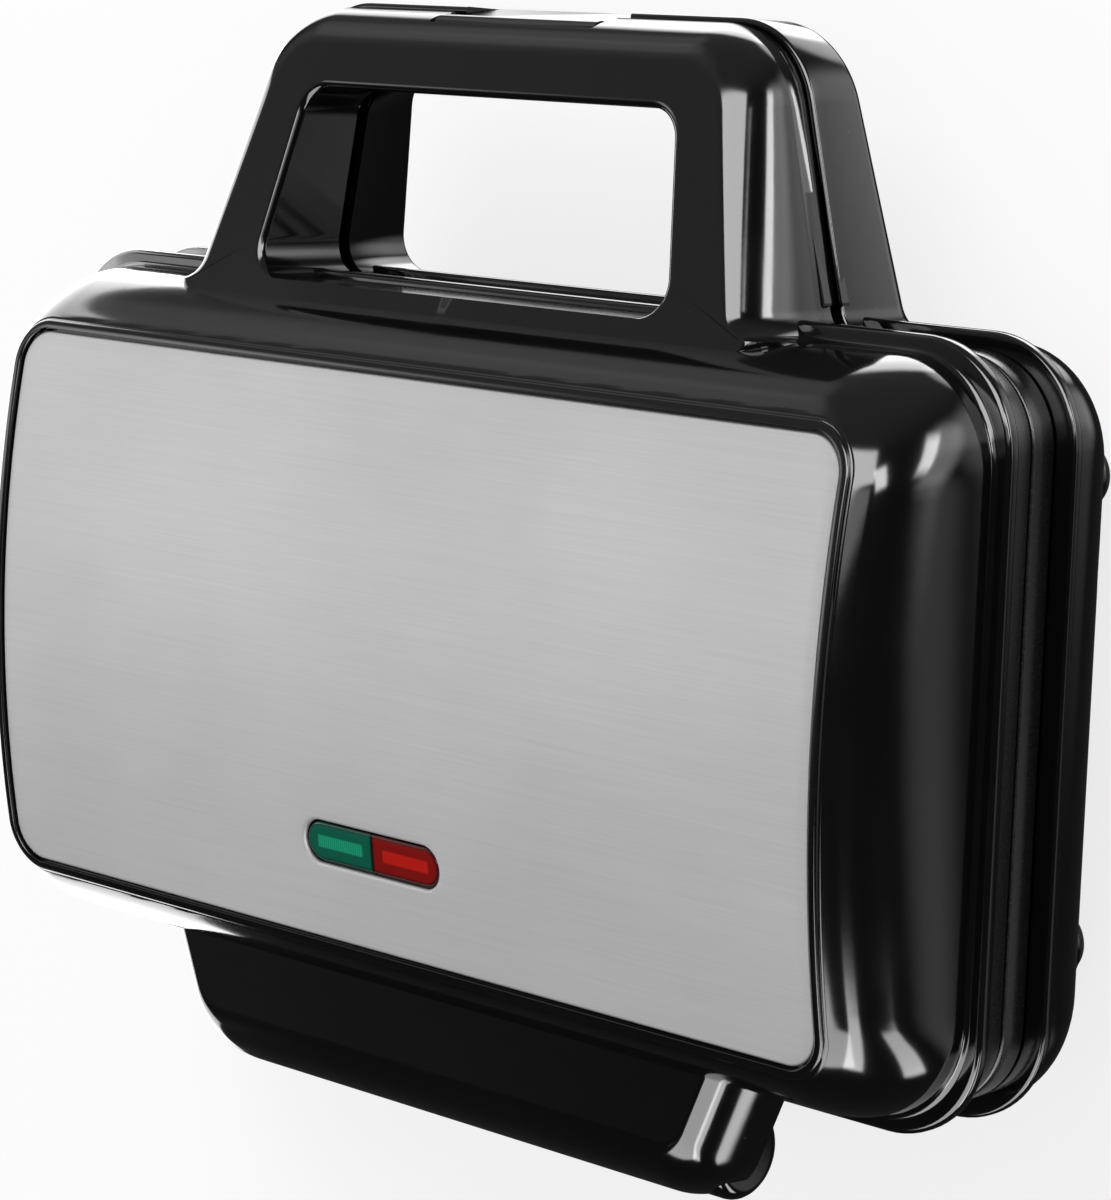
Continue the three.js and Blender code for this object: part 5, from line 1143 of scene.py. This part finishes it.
def makeStudio():
    # white for the camera and through glass, an even light for dull surfaces, boxes and glows for gloss
    world = bpy.data.worlds.new("studio")
    bpy.context.scene.world = world
    world.use_nodes = True
    tree = world.node_tree
    tree.nodes.clear()
    looking = addNode(tree, "TexCoord").outputs["Generated"]
    lights = [boxGlow(tree, looking, *box) for box in studio["boxes"]]
    lights += [roundGlow(tree, looking, *glow) for glow in studio["glows"]]
    total = addNode(tree, "Math", {"operation": "ADD", 1: studio["dim"]}, {0: lights[0]})
    for light in lights[1:]:
        total = addNode(tree, "Math", {"operation": "ADD"}, {0: light, 1: total})
    path = addNode(tree, "LightPath")
    white = {"Color": (1, 1, 1, 1)}
    mirrored = addNode(tree, "Background", white, {"Strength": total})
    seen = addNode(tree, "Background", {**white, "Strength": studio["seen"]})
    lit = addNode(tree, "Background", {**white, "Strength": studio["lit"]})
    clear = addNode(tree, "Math", {"operation": "MAXIMUM"},
                    {0: path.outputs["Is Camera Ray"], 1: path.outputs["Is Transmission Ray"]})
    inner = addNode(tree, "MixShader", links={0: path.outputs["Is Glossy Ray"], 1: lit, 2: mirrored})
    outer = addNode(tree, "MixShader", links={0: clear, 1: inner, 2: seen})
    addNode(tree, "OutputWorld", links={"Surface": outer})


def aimedBack(out):
    # axes of a lamp that lies out in a direction and looks back along it
    return (-out).to_track_quat("-Z", "Y").to_matrix().transposed()


def addLamp(name, place, axes, wide, high, radiance):
    # flat lamp in metres; its power is radiance times pi times area
    lamp = bpy.data.lights.new(name, "AREA")
    lamp.shape = "RECTANGLE"
    lamp.size = wide
    lamp.size_y = high
    lamp.energy = radiance * math.pi * wide * high
    holder = addObject(name, lamp)
    holder.matrix_world = placed(place, axes)
    holder.visible_camera = False
    return holder


def mirrorOnly(lamp, names):
    # the lamp is seen in the gloss of the named pieces and of no others
    lamp.visible_diffuse = False
    group = bpy.data.collections.new(lamp.name + "Receivers")
    for name in names:
        group.objects.link(bpy.data.objects[name])
    lamp.light_linking.receiver_collection = group


def addBoxLamp(name, place, size, soft, turn, radiance, names):
    # a far rectangle; its strength falls off over the soft edge by a smooth step of the place across it
    direction, side, rise = boxFrame(place, turn)
    wide, high = (2 * studio["away"] * halfTan(full + edge) for full, edge in zip(size, soft))
    holder = addLamp(name, centre + direction * studio["away"], (side, rise, direction), wide, high, radiance)
    lamp = holder.data
    lamp.use_nodes = True
    tree = lamp.node_tree
    tree.nodes.clear()
    surface = addNode(tree, "NewGeometry")
    across = addNode(tree, "SeparateXYZ", links={0: surface.outputs["Parametric"]})
    steps = []
    for axis, (full, edge) in enumerate(zip(size, soft)):
        fromEdge = addNode(tree, "Math", {"operation": "PINGPONG", 1: 0.5}, {0: across.outputs[axis]})
        steps.append(addNode(tree, "MapRange", {"interpolation_type": "SMOOTHSTEP", 2: edge / (full + edge)},
                             {0: fromEdge}))
    both = addNode(tree, "Math", {"operation": "MULTIPLY"}, {0: steps[0], 1: steps[1]})
    emission = addNode(tree, "Emission", {"Color": (1, 1, 1, 1)}, {"Strength": both})
    addNode(tree, "OutputLight", links={"Surface": emission})
    mirrorOnly(holder, names)


def addLamps():
    # what lights the dull surfaces and throws the floor's shadow
    keyPlace, keyAway, keySize, keyRadiance = studio["key"]
    keyAim = towards(*keyPlace)
    keyLamp = addLamp("keyLamp", centre + keyAim * keyAway, aimedBack(keyAim), keySize, keySize, keyRadiance)
    keyLamp.visible_glossy = False
    # soft boxes that draw the highlights on the black plastic, hung where the photograph's highlights say
    blackPieces = ["lidShell", "baseShell", "latchClip", "upperFrame", "lowerFrame", "cordInlet"]
    for number, box in enumerate(studio["lamps"]):
        addBoxLamp("softBox" + str(number), *box, blackPieces)
    # light tent of six walls round the steel and the plates, so that they show their own tone
    brightPieces = ["steelPanel", "upperPlate", "lowerPlate"]
    brightPieces += [piece.name for piece in bpy.data.objects if piece.name.startswith("screw_")]
    for material, names in finishes.items():
        if material != mattPlastic:
            brightPieces += [frame["nodes"][name].name for name in names]
    half = studio["tent"]
    for number, (out, radiance) in enumerate(studio["walls"]):
        out = Vector(out)
        mirrorOnly(addLamp("tentWall" + str(number), centre + out * half, aimedBack(out), 2 * half, 2 * half,
                           radiance), brightPieces)
    # white card close by the lid's far end, seen by its shoulder alone
    place, *sizes = studio["card"]
    mirrorOnly(addLamp("sideCard", place, aimedBack(Vector((1, 0, 0))), *sizes), blackPieces)


# floor: mm, and how bright the camera sees it
floorStage = dict(below=0.2, centre=0.02, inner=300.0, outer=12000.0, rings=24, count=64, colour="#f4f4f4",
                  seen=0.78, glowShare=0.7)


def makeFloor():
    # round sheet under the part, level everywhere; for the camera it is mostly a plain pale glow
    radius = np.linspace(floorStage["inner"], floorStage["outer"], floorStage["rings"])
    radius = np.concatenate([[floorStage["centre"]], radius])[:, None]
    count = floorStage["count"]
    turn = np.linspace(0, 2 * math.pi, count, endpoint=False)[None, :]
    level = -partingZ - floorStage["below"]
    rings = np.stack([radius * np.cos(turn), radius * np.sin(turn), level + 0 * radius * turn], -1)
    points = np.concatenate([rings.reshape(-1, 3), rings[0].mean(0)[None]])
    here = np.arange(count)
    triangles = np.stack([here * 0 + len(points) - 1, (here + 1) % count, here], -1)
    mesh = bpy.data.meshes.new("floor")
    mesh.from_pydata(toRow(points), [], gridFaces(len(rings), count)[:, ::-1].tolist() + triangles.tolist())
    material, tree, shader, _ = newMaterial(
        "paleFloor", {"Roughness": 0.9, "Base Color": hexColour(floorStage["colour"])})
    glow = addNode(tree, "Emission", {"Color": (1, 1, 1, 1), "Strength": floorStage["seen"]})
    thin = addNode(tree, "MixShader", {0: floorStage["glowShare"]}, {1: shader})
    both = addNode(tree, "AddShader", links={0: thin, 1: glow})
    path = addNode(tree, "LightPath")
    choice = addNode(tree, "MixShader", links={0: path.outputs["Is Camera Ray"], 1: shader, 2: both})
    output = next(node for node in tree.nodes if node.type == "OUTPUT_MATERIAL")
    linkTo(tree, output, {"Surface": choice})
    mesh.materials.append(material)
    floor = addObject("floor", mesh)
    floor.visible_glossy = False
    floor.visible_shadow = False


makeStudio()
addLamps()
makeFloor()
bpy.context.scene.view_settings.view_transform = "Standard"
print("stage made")
